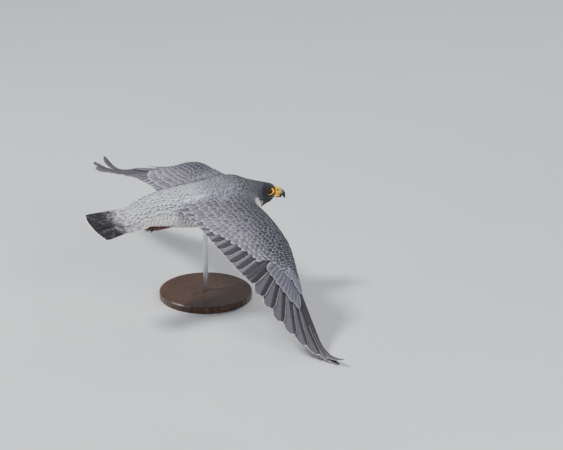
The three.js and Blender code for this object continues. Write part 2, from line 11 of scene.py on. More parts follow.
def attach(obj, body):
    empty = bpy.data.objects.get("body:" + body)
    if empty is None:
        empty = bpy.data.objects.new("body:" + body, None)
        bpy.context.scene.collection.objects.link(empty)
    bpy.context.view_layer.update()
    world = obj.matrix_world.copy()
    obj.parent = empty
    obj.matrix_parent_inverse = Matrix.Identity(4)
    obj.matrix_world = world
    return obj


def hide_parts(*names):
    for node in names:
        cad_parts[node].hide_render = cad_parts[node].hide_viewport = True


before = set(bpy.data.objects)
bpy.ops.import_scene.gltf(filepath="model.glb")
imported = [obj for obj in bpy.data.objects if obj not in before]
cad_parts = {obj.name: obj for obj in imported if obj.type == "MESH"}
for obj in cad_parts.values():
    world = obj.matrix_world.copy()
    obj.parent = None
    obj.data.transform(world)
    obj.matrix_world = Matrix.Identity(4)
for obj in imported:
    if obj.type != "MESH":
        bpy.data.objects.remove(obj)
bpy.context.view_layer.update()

# Skin. The body under the feathers, one closed surface with no seam: trunk, neck, head, thighs and the
# fleshy front of each wing, each a run of rounded rings. It is laid out level in millimetres, x ahead, y to
# the bird's left, z up, and then banks to its right and drops its bill over the stand's rod.
BANK = math.radians(8.7)
PITCH = math.radians(8.4)
BIRD_AT = (34.0, 0.0, 196.0)
MM = 0.001
ROLL = np.array([[1, 0, 0], [0, math.cos(BANK), -math.sin(BANK)], [0, math.sin(BANK), math.cos(BANK)]])
DIP = np.array([[math.cos(PITCH), 0, math.sin(PITCH)], [0, 1, 0], [-math.sin(PITCH), 0, math.cos(PITCH)]])
ATTITUDE = DIP @ ROLL


def in_flight(points):
    """Turns level points about x by the bank and about y by the pitch, then lifts them; gives metres."""
    return (np.asarray(points) @ ATTITUDE.T + BIRD_AT) * MM


def level(points):
    """The inverse of in_flight: metres on the stand back to the level bird in millimetres."""
    return (np.asarray(points, float) / MM - BIRD_AT) @ ATTITUDE


def ramp(value, low, high):
    """Rises smoothly from 0 at low to 1 at high, as 3t^2 - 2t^3."""
    t = np.clip((np.asarray(value, float) - low) / (high - low), 0, 1)
    return t * t * (3 - 2 * t)


# COAT is how far the skin lies under the outline that the feathers make. Each table is a path: its middle
# (x, y, z), its half width, and its height above and below the middle.
COAT = 1.6
TRUNK = [
    [-222, 0, -24, 12, 3, 5],
    [-210, 0, -21, 24, 9, 12],
    [-190, 0, -16, 31, 20, 22],
    [-165, 0, -11, 35, 28, 27],
    [-130, 0, -7, 40, 34, 33],
    [-90, 0, -5, 44, 39, 38],
    [-45, 0, -4, 48, 44, 43],
    [5, 0, -2, 52, 50.5, 44],
    [40, -1, 5, 46, 46, 42],
    [66, -3, 11, 35, 32, 36],
    [88, -9, 18, 27, 20, 30],
    [104, -15, 21, 20, 15, 23],
]
HEAD_AT = np.array([100.5, -12.0, 25.1])
HEAD_TURN = math.radians(24)
HEAD_COAT = 0.7
SKULL_POWER = 2.3
SKULL = [
    [-33, 0, -8, 9, 6, 12],
    [-26, 0, -5, 19, 10, 23],
    [-14, 0, -2, 22, 12, 29],
    [0, 0, -1.6, 20.6, 12.8, 28.5],
    [8, 0, -1, 18, 11.5, 25],
    [14, 0, -1, 13.5, 8.4, 19],
    [18, 0, -1, 8, 4, 14],
]
BROW = [
    [-10, 18.6, 3.4, 3, 2.4, 4], [-2, 19, 6.4, 3.4, 1.6, 4],
    [6, 16.6, 6.2, 3.2, 1.5, 4], [14, 11, 4, 2, 1.2, 2.5],
]
THIGH = [
    [-45, 24, -22, 12, 12, 12],
    [-68, 26, -23, 16, 15, 15],
    [-95, 22, -27, 13, 12, 12],
    [-118, 18, -33, 7, 6, 7],
]
# The wing's flesh, laid flat: y outwards, x of its front, chord, thickness, height of its middle.
FLESH = np.array([
    [20, 33, 94, 22, -6],
    [50, 32, 80, 20, -2],
    [85, 32, 66, 16, -1],
    [120, 37, 58, 14, 0],
    [150, 42, 54, 13, 0],
    [180, 47, 54, 13, 0],
    [205, 47, 48, 11, 0],
    [235, 43, 33, 8, 0],
    [262, 37, 20, 6, 0],
    [282, 33, 12, 3, 0],
], float)
# Its section: share of the chord from the front, and share of the thickness above the middle.
SECTION = np.array([[0, 0], [0.04, 0.24], [0.16, 0.45], [0.36, 0.5], [0.62, 0.36], [0.86, 0.22], [1, 0.13]])
UNDER_FULLNESS = 0.8
FLESH_THINNING = 1.4
WING_ROOT_Y = 36.0
WING_ROOT_Z = 15.6
WING_END_Y = 520.0
TWIST_PIVOT_X = -100.0
ROOT_TWIST = math.radians(8.5)
TIP_TWIST = math.radians(0.9)
ARM_DROOP = math.radians(8.5)
HAND_DROOP = math.radians(27.4)
LEFT_FORWARD = 10.0
LEFT_LOWER = 9.0


def smooth_rows(table, steps):
    """Rows between those of a table, each column on the cubic whose slopes are half the neighbours' gap."""
    table = np.asarray(table, float)
    last = len(table) - 1
    t = np.arange(steps + 1) / steps * last
    i = np.minimum(last - 1, t.astype(int))
    f = (t - i)[:, None]
    before = table[np.maximum(0, i - 1)]
    here, after = table[i], table[i + 1]
    beyond = table[np.minimum(last, i + 2)]
    slope_a, slope_b, rise = (after - before) / 2, (beyond - here) / 2, after - here
    return here + f * (slope_a + f * (3 * rise - 2 * slope_a - slope_b + f * (slope_a + slope_b - 2 * rise)))


def tube_rings(table, steps, sides, grow=0.0, power=2.2):
    """Rings round a path: each is |u|^p + |v|^p = 1 scaled by half width, and by height above or below."""
    rows = smooth_rows(table, steps)
    middle = rows[:, :3]
    number = np.arange(steps + 1)
    along = middle[np.minimum(steps, number + 1)] - middle[np.maximum(0, number - 1)]
    along /= np.linalg.norm(along, axis=1, keepdims=True)
    side = np.cross([0, 0, 1.0], along)
    side /= np.linalg.norm(side, axis=1, keepdims=True)
    up = np.cross(along, side)
    angle = np.arange(sides) / sides * 2 * math.pi
    c, s = np.cos(angle), np.sin(angle)
    u = np.sign(c) * np.abs(c) ** (2 / power) * (rows[:, 3:4] + grow)
    v = np.sign(s) * np.abs(s) ** (2 / power) * (np.where(s > 0, rows[:, 4:5], rows[:, 5:6]) + grow)
    return middle[:, None] + u[..., None] * side[:, None] + v[..., None] * up[:, None]


def tube_faces(rings):
    """Points and triangles of a closed tube; each end is closed on the middle of its ring."""
    n, k = rings.shape[:2]
    points = np.concatenate([rings.reshape(-1, 3), rings[0].mean(0)[None], rings[-1].mean(0)[None]])
    i, j = np.meshgrid(np.arange(n - 1), np.arange(k), indexing="ij")
    a, b = (i * k + j).ravel(), (i * k + (j + 1) % k).ravel()
    side = np.concatenate([np.stack([a, b, b + k], 1), np.stack([a, b + k, a + k], 1)])
    ring = np.arange(k)
    first = np.stack([(ring + 1) % k, ring, np.full(k, n * k)], 1)
    end = (n - 1) * k
    last = np.stack([end + ring, end + (ring + 1) % k, np.full(k, n * k + 1)], 1)
    triangles = np.concatenate([side, first, last])
    p, q, r = points[triangles[:, 0]], points[triangles[:, 1]], points[triangles[:, 2]]
    inside_out = np.einsum("ij,ij->i", p, np.cross(q, r)).sum() < 0
    return points, triangles[:, ::-1] if inside_out else triangles


def head_axes():
    """The head frame's axes as rows: rolled back by the bank, so that the head stays level, then turned."""
    c, s = math.cos(HEAD_TURN), math.sin(HEAD_TURN)
    return (np.array([[c, s, 0], [-s, c, 0], [0, 0, 1]]) @ ROLL.T).T


HEAD_AXES = head_axes()


def on_head(points):
    """Head frame to bird frame."""
    return np.asarray(points, float) @ HEAD_AXES + HEAD_AT


def to_head(points):
    """The inverse of on_head."""
    return (np.asarray(points, float) - HEAD_AT) @ HEAD_AXES.T


def droop(y):
    """The wing's slope along its span, downwards, which grows from the arm to the hand."""
    return -(ARM_DROOP + (HAND_DROOP - ARM_DROOP) * ramp(y, 90, 200))


span_y = np.linspace(WING_ROOT_Y, WING_END_Y, 481)
span_step = span_y[1] - span_y[0]
span_slope = droop(span_y[:-1] + span_step / 2)
span_out = WING_ROOT_Y + np.concatenate([[0], np.cumsum(np.cos(span_slope)) * span_step])
span_z = WING_ROOT_Z + np.concatenate([[0], np.cumsum(np.sin(span_slope)) * span_step])


def on_wing(points, side):
    """Flat wing to bird frame: drooped along the span by the summed slope, and twisted, leading edge up."""
    points = np.asarray(points, float)
    x, y, z = points[..., 0], points[..., 1], points[..., 2]
    low = np.minimum(y - WING_ROOT_Y, 0)
    out = np.interp(y, span_y, span_out) + low * math.cos(span_slope[0])
    height = np.interp(y, span_y, span_z) + low * math.sin(span_slope[0])
    twist = ROOT_TWIST + (TIP_TWIST - ROOT_TWIST) * ramp(y, 60, 310)
    at_wrist = ramp(y, 30, 110) * (1 - ramp(y, 200, 330)) * (side > 0)
    chord = x + LEFT_FORWARD * at_wrist - TWIST_PIVOT_X
    lift = z + chord * np.sin(twist) - LEFT_LOWER * at_wrist
    slope = droop(y)
    return np.stack([
        TWIST_PIVOT_X + chord * np.cos(twist),
        side * (out - lift * np.sin(slope)),
        height + lift * np.cos(slope),
    ], -1)


def flesh_rings(side, shrink):
    """The wing's sections: a round front that thins to the rear, pulled in by the coat's depth."""
    rows = smooth_rows(FLESH, 40)
    chord_share = np.concatenate([SECTION[:, 0], SECTION[:0:-1, 0]])
    half = np.concatenate([SECTION[:, 1], -UNDER_FULLNESS * SECTION[:0:-1, 1]])
    lead, chord, thick, z = (rows[:, c:c + 1] for c in (1, 2, 3, 4))
    x = lead - shrink - chord_share * (chord - 2 * shrink)
    height = z + half * np.maximum(thick - FLESH_THINNING * shrink, 1.2)
    return on_wing(np.stack([x, np.broadcast_to(rows[:, :1], x.shape), height], -1), side)


def mirrored(table):
    """The same table for the bird's right side."""
    return np.asarray(table, float) * (1, -1, 1, 1, 1, 1)


def new_piece(name, points, faces, smooth=True):
    """A mesh object from an array of points in metres and an array of equal faces."""
    mesh = bpy.data.meshes.new(name)
    mesh.vertices.add(len(points))
    mesh.vertices.foreach_set("co", np.asarray(points, np.float32).ravel())
    mesh.loops.add(faces.size)
    mesh.loops.foreach_set("vertex_index", np.asarray(faces, np.int32).ravel())
    mesh.polygons.add(len(faces))
    mesh.polygons.foreach_set("loop_start", np.arange(0, faces.size, faces.shape[1], dtype=np.int32))
    mesh.update(calc_edges=True)
    mesh.polygons.foreach_set("use_smooth", np.full(len(faces), smooth))
    piece = bpy.data.objects.new(name, mesh)
    bpy.context.scene.collection.objects.link(piece)
    return piece


def joined(parts):
    """Several (points, faces) pairs as one pair."""
    starts = np.cumsum([0] + [len(points) for points, _ in parts[:-1]])
    faces = [part_faces + start for (_, part_faces), start in zip(parts, starts)]
    return np.concatenate([points for points, _ in parts]), np.concatenate(faces)


bodies = [
    tube_faces(tube_rings(TRUNK, 60, 48, -COAT)),
    tube_faces(on_head(tube_rings(SKULL, 40, 40, -HEAD_COAT, SKULL_POWER))),
    tube_faces(on_head(tube_rings(BROW, 12, 12, -0.4))),
    tube_faces(on_head(tube_rings(mirrored(BROW), 12, 12, -0.4))),
    tube_faces(tube_rings(THIGH, 24, 24, -COAT)),
    tube_faces(tube_rings(mirrored(THIGH), 24, 24, -COAT)),
    tube_faces(flesh_rings(1, COAT)),
    tube_faces(flesh_rings(-1, COAT)),
]
skin_points, skin_faces = joined(bodies)
skin = new_piece("skin", in_flight(skin_points), skin_faces)
melt = skin.modifiers.new("melt", "REMESH")
melt.mode = "VOXEL"
melt.voxel_size = 0.0019
melt.use_smooth_shade = True
ease = skin.modifiers.new("ease", "SMOOTH")
ease.factor = 0.5
ease.iterations = 10
view_layer = bpy.context.evaluated_depsgraph_get()
melted = bpy.data.meshes.new_from_object(skin.evaluated_get(view_layer))
skin.modifiers.clear()
skin.data = melted
skin.data.name = "skin"

skin_co = np.empty(len(melted.vertices) * 3, np.float32)
melted.vertices.foreach_get("co", skin_co)
skin_co = skin_co.reshape(-1, 3)
skin_normal = np.empty(len(melted.vertices) * 3, np.float32)
melted.vertex_normals.foreach_get("vector", skin_normal)
skin_normal = skin_normal.reshape(-1, 3)
skin_polygons = [tuple(p.vertices) for p in melted.polygons]
skin_tree = BVHTree.FromPolygons(skin_co.tolist(), skin_polygons)
skin_corner = np.array([(p + p[:1])[:4] if len(p) == 3 else p[:4] for p in skin_polygons])


def settle(points):
    """The nearest places on the skin to an array of points in metres, and the smooth normals there."""
    flat = np.asarray(points).reshape(-1, 3)
    found = [skin_tree.find_nearest(p) for p in flat.tolist()]
    place = np.array([f[0] for f in found])
    corner = skin_corner[[f[2] for f in found]]
    near = 1 / (np.linalg.norm(skin_co[corner] - place[:, None], axis=2) + 1e-5)
    normal = (skin_normal[corner] * near[..., None]).sum(1)
    normal /= np.linalg.norm(normal, axis=1, keepdims=True)
    return place.reshape(points.shape), normal.reshape(points.shape)


# The plumage's ground colours in linear light, for the skin and for the feathers that grow on it:
# slate above and nearly black on the head, paler on the rump; cream below with dark spots and bars.
UP = ATTITUDE[:, 2]
CROWN = np.array([0.057, 0.054, 0.073])
NEAR_BLACK = np.array([0.012, 0.011, 0.013])
SLATE_DARK = np.array([0.055, 0.058, 0.074])
SLATE = np.array([0.2, 0.2, 0.25])
RUMP_GREY = np.array([0.62, 0.62, 0.69])
CREAM = np.array([0.95, 0.89, 0.87])
WHITE = np.array([0.88, 0.84, 0.78])
# Painted shade: the skin's ground is darkened by this share, because it shows only in the shade between the
# feathers.
SKIN_PAINTED_SHADE = 0.8


def blend_to(colour, other, share):
    """Mixes an array of colours towards another by a share for each."""
    return colour + (other - colour) * share[..., None]


def plumage(bird_points, up_share):
    """Ground colour and marks (dark centre, pale rim, bars) at places on the body, in the bird frame.

    up_share is how far the surface faces the bird's upper side, from -1 to 1.
    """
    x = bird_points[..., 0]
    # Above, slate that pales from the back to the rump and darkens towards the hood.
    colour = blend_to(np.broadcast_to(SLATE, bird_points.shape), RUMP_GREY, ramp(-x, 0, 95) * 0.95)
    on_top = 0.35 + 0.65 * ramp(up_share, 0.45, 0.85)
    colour = blend_to(colour, SLATE_DARK, np.maximum(ramp(x, 2, 48) * on_top, ramp(x, 58, 74)))
    # Below and on the flanks, cream with spots and bars.
    under = ramp(-up_share, 0.05, 0.4) * (1 - ramp(x, 62, 84))
    flank = ramp(-x, 70, 110) * ramp(-up_share, -0.25, 0.1)
    pale = np.maximum(under, flank)
    colour = blend_to(colour, CREAM, pale)
    centre = (0.45 + 0.4 * ramp(-x, 50, 100)) * (1 - pale) + 0.45 * pale
    rim = 0.55 * (1 - pale) + 0.1 * pale
    bars = (0.1 + 0.4 * ramp(x, -70, -10)) * (1 - pale) + 0.55 * pale * ramp(-x, -20, 20)

    # On the head, a plain dark hood with fine pale rims.
    hx, hy, hz = np.moveaxis(to_head(bird_points), -1, 0)
    hy = np.abs(hy)
    on_hood = ramp(x, 68, 84)
    colour = blend_to(colour, CROWN, on_hood)
    # The pale cheek behind the dark moustache, and the pale throat under the bill.
    middle = -20 + (-hz - 13) * 0.56
    half = np.maximum(5.6 * np.sqrt(np.clip(1 - ((hz + 23) / 15) ** 2, 0, 1)), 0.001)
    cheek = (1 - ramp(np.abs(hx - middle) / half, 0.85, 1.1)) * ramp(hy, 3, 7)
    hook = 1 - ramp(np.abs(np.hypot(hx + 9.5, hz + 21.5) - 4), 0.7, 1.6)
    hook = hook * ramp(hx, -9.5, -8) * ramp(hy, 3, 7)
    cheek = np.maximum(cheek, 0.55 * hook)
    throat = ramp(-hz, 21, 24) * (1 - ramp(hy, 6, 10)) * ramp(hx, -40, -30)
    front = ramp(-up_share, 0.25, 0.5) * (1 - ramp(hx, -22, -15)) * on_hood
    # Darkest in the moustache, on the lores and round the lids.
    round_eye = 1 - ramp(np.hypot(hx - 2.5, hz * 1.1), 10.5, 14)
    dark = np.maximum(round_eye, ramp(-hz, 8, 16) * ramp(hx, -12, -4))
    colour = blend_to(colour, NEAR_BLACK, dark * on_hood * 0.85)
    colour = blend_to(colour, WHITE, np.maximum(np.maximum(throat, front) * on_hood, cheek))
    centre = centre * (1 - on_hood)
    rim = rim * (1 - on_hood) + 0.06 * on_hood
    bars = bars * (1 - on_hood)
    return colour, np.stack([centre, rim, bars], -1)


def put_field(mesh, name, kind, values):
    """Stores an array as a named field of the mesh's points, a colour with its fourth channel full."""
    values = np.asarray(values, np.float32)
    if kind == "FLOAT_COLOR":
        values = np.concatenate([values, np.ones(values.shape[:-1] + (1,), np.float32)], -1)
    key = {"FLOAT": "value", "FLOAT_VECTOR": "vector", "FLOAT_COLOR": "color"}[kind]
    mesh.attributes.new(name, kind, "POINT").data.foreach_set(key, values.ravel())


class Nodes:
    """A short way to build a node tree: make() adds a node and sets or links its inputs by name."""

    def __init__(self, tree):
        self.tree = tree

    def make(self, kind, settings=None, **inputs):
        node = self.tree.nodes.new(kind)
        for key, value in (settings or {}).items():
            setattr(node, key, value)
        for key, value in inputs.items():
            by_number = key[0] == "i" and key[1:].isdigit()
            socket = node.inputs[int(key[1:]) if by_number else key.replace("_", " ")]
            if isinstance(value, bpy.types.NodeSocket):
                self.tree.links.new(value, socket)
            else:
                socket.default_value = value
        return node

    def maths(self, operation, a, b=0.0, c=0.0):
        return self.make("ShaderNodeMath", {"operation": operation}, i0=a, i1=b, i2=c).outputs[0]

    def ramp(self, value, low, high):
        settings = {"interpolation_type": "SMOOTHSTEP"}
        return self.make("ShaderNodeMapRange", settings, Value=value, From_Min=low, From_Max=high).outputs[0]

    def mix(self, share, a, b, blend="MIX"):
        node = self.make("ShaderNodeMix", {"data_type": "RGBA", "blend_type": blend}, i0=share)
        for socket, value in ((node.inputs[6], a), (node.inputs[7], b)):
            if isinstance(value, bpy.types.NodeSocket):
                self.tree.links.new(value, socket)
            else:
                socket.default_value = (*value, 1)
        return node.outputs[2]

    def place(self):
        return self.make("ShaderNodeTexCoord").outputs["Object"]

    def field(self, name, output="Fac"):
        return self.make("ShaderNodeAttribute", {"attribute_name": name}).outputs[output]

    def noise(self, scale, **inputs):
        return self.make("ShaderNodeTexNoise", Vector=self.place(), Scale=scale, **inputs).outputs[0]

    def split(self, vector):
        return self.make("ShaderNodeSeparateXYZ", Vector=vector).outputs

    def vane_map(self):
        return self.split(self.make("ShaderNodeUVMap", {"uv_map": "vane"}).outputs[0])

    def grey(self, value):
        return self.make("ShaderNodeCombineXYZ", X=value, Y=value, Z=value).outputs[0]

    def bump(self, strength, distance, height):
        return self.make("ShaderNodeBump", Strength=strength, Distance=distance, Height=height).outputs[0]

    def feed(self, shader, **sockets):
        for key, value in sockets.items():
            self.tree.links.new(value, shader.inputs[key.replace("_", " ")])


def new_material(name):
    """An empty material with its output and Principled shader, and the tree's builder."""
    material = bpy.data.materials.new(name)
    material.use_nodes = True
    tree = material.node_tree
    return material, Nodes(tree), tree.nodes["Principled BSDF"]


down_material, n, shader = new_material("down")
fluff = n.make("ShaderNodeTexNoise", Vector=n.place(), Scale=350.0, Detail=4.0)
tone = n.mix(0.5, n.field("ground", "Color"), fluff.outputs["Color"], "SOFT_LIGHT")
n.feed(shader, Base_Color=tone, Normal=n.bump(0.5, 0.0006, fluff.outputs[0]))
shader.inputs["Roughness"].default_value = 0.9

skin_ground, _ = plumage(level(skin_co), skin_normal @ UP)
# The skin takes the plumage's ground colour, darkened as painted shade between the feathers.
put_field(melted, "ground", "FLOAT_COLOR", skin_ground * SKIN_PAINTED_SHADE)
melted.materials.clear()
melted.materials.append(down_material)
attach(skin, "root")
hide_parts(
    "head", "neck", "torso", "tail", "thigh_left", "thigh_right",
    "wing_left_arm", "wing_left_hand", "wing_right_arm", "wing_right_hand",
)


# Body feathers. Each is a thin cupped vane of keratin that grows out of the skin and lies back along it,
# in staggered rows: large on the mantle and rump, small on the neck, and tiny on the face.
# A vane has rows along it and across it, its width at each row, and a patch of the coat's map.
ROWS_ALONG = np.array([0.0, 0.3, 0.6, 0.85, 1.0])
ROWS_ACROSS = np.array([-1.0, 0.0, 1.0])
FEATHER_SHAPE = np.array([0.5, 0.92, 1.0, 0.82, 0.34])
PATCH = 0.003
chance = np.random.default_rng(11)


def vane_group():
    """Markings of a feather from its own map: a dark centre, bars across, a pale rim, barbs and a shaft."""
    group = bpy.data.node_groups.new("vane_marks", "ShaderNodeTree")
    for name, kind in (
        ("Dark", "NodeSocketColor"), ("Pale", "NodeSocketColor"), ("Barbs", "NodeSocketFloat"),
        ("Rim", "NodeSocketFloat"), ("Spot", "NodeSocketFloat"), ("Inner", "NodeSocketFloat"),
    ):
        group.interface.new_socket(name, in_out="INPUT", socket_type=kind)
    for name, kind in (
        ("Color", "NodeSocketColor"), ("Height", "NodeSocketFloat"), ("Roughness", "NodeSocketFloat"),
    ):
        group.interface.new_socket(name, in_out="OUTPUT", socket_type=kind)
    n = Nodes(group)
    given = n.make("NodeGroupInput")
    ground = n.field("ground", "Color")
    spot_share, rim_share, bar_share = n.split(n.field("marks", "Vector"))
    across, along, _ = n.vane_map()
    from_shaft = n.maths("ABSOLUTE", n.maths("MULTIPLY_ADD", across, 2.0, -1.0))
    cloud = n.noise(120.0, Detail=3.0)
    wander = n.maths("MULTIPLY_ADD", cloud, 0.3, -0.15)
    rim_from = given.outputs["Rim"]
    rim_full = n.maths("MULTIPLY_ADD", rim_from, 0.3, 0.7)
    edge = n.ramp(n.maths("MULTIPLY_ADD", wander, 0.4, from_shaft), rim_from, rim_full)
    tip_from = n.maths("MULTIPLY_ADD", rim_from, 0.4, 0.6)
    tip_full = n.maths("MULTIPLY_ADD", rim_from, 0.12, 0.87)
    tip = n.ramp(n.maths("MULTIPLY_ADD", wander, 0.2, along), tip_from, tip_full)
    rim = n.maths("MULTIPLY", n.maths("MAXIMUM", n.maths("MULTIPLY", edge, 0.7), tip), rim_share)
    reach = n.ramp(n.maths("MULTIPLY_ADD", wander, 0.6, from_shaft), 0.06, given.outputs["Spot"])
    reach = n.maths("SUBTRACT", 1.0, reach)
    streak = n.maths("MULTIPLY", reach, n.maths("SUBTRACT", 1.0, n.ramp(along, 0.7, 0.88)))
    streak = n.maths("MULTIPLY", streak, spot_share)
    phase = n.maths("MULTIPLY", n.maths("MULTIPLY_ADD", wander, 0.12, along), n.field("beat"))
    wave = n.maths("SINE", n.maths("MULTIPLY", phase, 2 * math.pi))
    bar = n.maths("MULTIPLY", n.ramp(wave, -0.1, 0.7), bar_share)
    bar = n.maths("MULTIPLY", bar, n.maths("SUBTRACT", 1.0, n.maths("MULTIPLY", edge, 0.8)))
    # The vane behind the shaft is paler than the one in front of it by the Inner share.
    behind = n.maths("SUBTRACT", 1.0, n.ramp(across, 0.42, 0.58))
    lighter = n.maths("MULTIPLY_ADD", behind, given.outputs["Inner"], 1.0)
    ground = n.mix(1.0, ground, n.grey(lighter), "MULTIPLY")
    tone = n.mix(n.maths("MAXIMUM", streak, bar), ground, given.outputs["Dark"])
    tone = n.mix(rim, tone, given.outputs["Pale"])
    # Barbs leave the shaft at a slant; the shaft is a fine dark ridge.
    slant = n.maths("MULTIPLY_ADD", from_shaft, -0.35, along)
    barb = n.maths("SINE", n.maths("MULTIPLY", slant, given.outputs["Barbs"]))
    shaft = n.maths("SUBTRACT", 1.0, n.ramp(from_shaft, 0.0, 0.07))
    shade = n.maths("MULTIPLY_ADD", barb, 0.025, n.maths("MULTIPLY_ADD", cloud, 0.3, 0.85))
    shade = n.maths("MULTIPLY", shade, n.maths("MULTIPLY_ADD", shaft, -0.35, 1.0))
    tone = n.mix(1.0, tone, n.grey(shade), "MULTIPLY")
    height = n.maths("ADD", n.maths("MULTIPLY", barb, 0.25), shaft)
    rough = n.maths("MULTIPLY_ADD", cloud, 0.2, 0.5)
    n.make("NodeGroupOutput", Color=tone, Height=height, Roughness=rough)
    return group


def plumage_material(name, dark, pale, barbs, bump, spot, rim=0.66, inner=0.0):
    """A feather material: the shared markings with this tract's own dark and pale colours."""
    material, n, shader = new_material(name)
    marks = n.make("ShaderNodeGroup", {"node_tree": bpy.data.node_groups.get("vane_marks") or vane_group()})
    for key, value in (
        ("Dark", (*dark, 1)), ("Pale", (*pale, 1)), ("Barbs", barbs),
        ("Rim", rim), ("Spot", spot), ("Inner", inner),
    ):
        marks.inputs[key].default_value = value
    n.feed(
        shader, Base_Color=marks.outputs["Color"], Roughness=marks.outputs["Roughness"],
        Normal=n.bump(bump, 0.0004, marks.outputs["Height"]),
    )
    shader.inputs["Specular IOR Level"].default_value = 0.2
    shader.inputs["Sheen Weight"].default_value = 0.06
    shader.inputs["Sheen Roughness"].default_value = 0.4
    return material


BODY_DARK = (0.028, 0.03, 0.036)
BODY_PALE = (0.62, 0.61, 0.62)
body_material = plumage_material("body_feathers", BODY_DARK, BODY_PALE, 60.0, 0.4, spot=0.4)


def shell_faces(count, rows, cols):
    """Quads of closed blades: a top and a bottom sheet of rows x cols points each, and a rim between."""
    i, j = np.meshgrid(np.arange(rows - 1), np.arange(cols - 1), indexing="ij")
    a = (i * cols + j).ravel()
    top = np.stack([a, a + 1, a + cols + 1, a + cols], 1)
    under = rows * cols
    ring = np.concatenate([
        np.arange(cols), cols * np.arange(1, rows) + cols - 1,
        (rows - 1) * cols + np.arange(cols - 2, -1, -1), cols * np.arange(rows - 2, 0, -1),
    ])
    after = np.roll(ring, -1)
    rim = np.stack([after, ring, ring + under, after + under], 1)
    one = np.concatenate([top, top[:, ::-1] + under, rim])
    return (one[None] + 2 * under * np.arange(count)[:, None, None]).reshape(-1, 4)


def vane_piece(name, top, bottom, fields, material, patch):
    """Closed vanes from top and bottom grids (count, rows, cols, 3) in metres, with their maps and fields.

    patch gives each vane's corner on the coat's map; fields hold one value for each vane.
    """
    count, rows, cols = top.shape[:3]
    points = np.stack([top, bottom], 1).reshape(-1, 3)
    faces = shell_faces(count, rows, cols)
    first = points[faces[: len(faces) // count]] - points[: 2 * rows * cols].mean(0)
    volume = np.einsum("ij,ij->i", first[:, 0], np.cross(first[:, 1], first[:, 2])).sum()
    volume += np.einsum("ij,ij->i", first[:, 0], np.cross(first[:, 2], first[:, 3])).sum()
    if volume < 0:
        faces = faces[:, ::-1]
    piece = new_piece(name, points, faces)
    mesh = piece.data
    across = np.linspace(0, 1, cols)
    along = np.linspace(0, 1, rows) if rows > 6 else ROWS_ALONG
    local = np.stack(np.broadcast_arrays(across[None, :], along[:, None]), -1)
    local = np.broadcast_to(local, (count, 2, rows, cols, 2))
    corner = faces.ravel()
    for key, uv in (("vane", local), ("OFBake", patch[:, None, None, None, :] + PATCH * local)):
        uv = uv.reshape(-1, 2)[corner].astype(np.float32)
        mesh.uv_layers.new(name=key).data.foreach_set("uv", uv.ravel())
    for key, (kind, values) in fields.items():
        values = np.asarray(values)
        spread = np.broadcast_to(values[:, None], (count, 2 * rows * cols) + values.shape[1:])
        put_field(mesh, key, kind, spread.reshape((-1,) + values.shape[1:]))
    mesh.materials.append(material)
    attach(piece, "root")
    return piece


def lay_feathers(roots, lie, length, width, depth):
    """Vanes that follow the skin from their roots.

    Each grid point steps from the root along the lie and across it, drops to the nearest place on the skin,
    and stands off it by a height that grows from under the skin at the root to the coat's depth at the tip.
    """
    place, normal = settle(roots)
    lie = lie - (lie * normal).sum(-1, keepdims=True) * normal
    lie /= np.linalg.norm(lie, axis=-1, keepdims=True)
    across = np.cross(normal, lie)
    u = ROWS_ALONG[None, :, None]
    v = ROWS_ACROSS[None, None, :]
    step = (u - 0.14 * v * v * u ** 3) * length[:, None, None] * MM
    out = v * FEATHER_SHAPE[None, :, None] * width[:, None, None] * MM / 2
    flat = place[:, None, None] + step[..., None] * lie[:, None, None]
    ground, away = settle(flat + out[..., None] * across[:, None, None])
    size = (0.45 + 0.55 * np.minimum(length / 14, 1.3))[:, None, None]
    height = depth * (-0.5 + 2.3 * u ** 0.8 - 0.45 * v * v) * size
    top = ground + away * (height * MM)[..., None]
    thick = 0.3 - 0.12 * v * v - 0.1 * u
    bottom = ground + away * ((height - thick) * MM)[..., None]
    return top, bottom


def staggered(rings_of, spacing, first, last):
    """Staggered rows on a surface of rings: the places, the lies, the spacings and the shares of the map.

    The next row lies one spacing on, as measured by how far the rings move over a hair of the length.
    """
    found = []
    hair = 0.01
    at, row = first, 0
    while at < last:
        loop, loop_b = (np.concatenate([ring, ring[:1]]) for ring in (rings_of(at), rings_of(at + hair)))
        run = np.concatenate([[0], np.cumsum(np.linalg.norm(np.diff(loop, axis=0), axis=1))])
        gap = spacing(at)
        count = max(6, int(run[-1] / (gap * 1.05)))
        t = ((np.arange(count) + 0.5 * (row % 2)) / count * run[-1]) % run[-1]
        t = (t + chance.normal(0, 0.06 * gap, count)) % run[-1]
        pick, pick_b = (
            np.stack([np.interp(t, run, ring[:, axis]) for axis in range(3)], -1) for ring in (loop, loop_b)
        )
        speed = np.linalg.norm(pick_b - pick, axis=1).mean() / hair
        share = np.stack([np.full(count, at), t / run[-1]], -1)
        found.append((pick, pick_b - pick, np.full(count, gap), share))
        at += gap / max(speed, 1.0)
        row += 1
    return tuple(np.concatenate(column) for column in zip(*found))


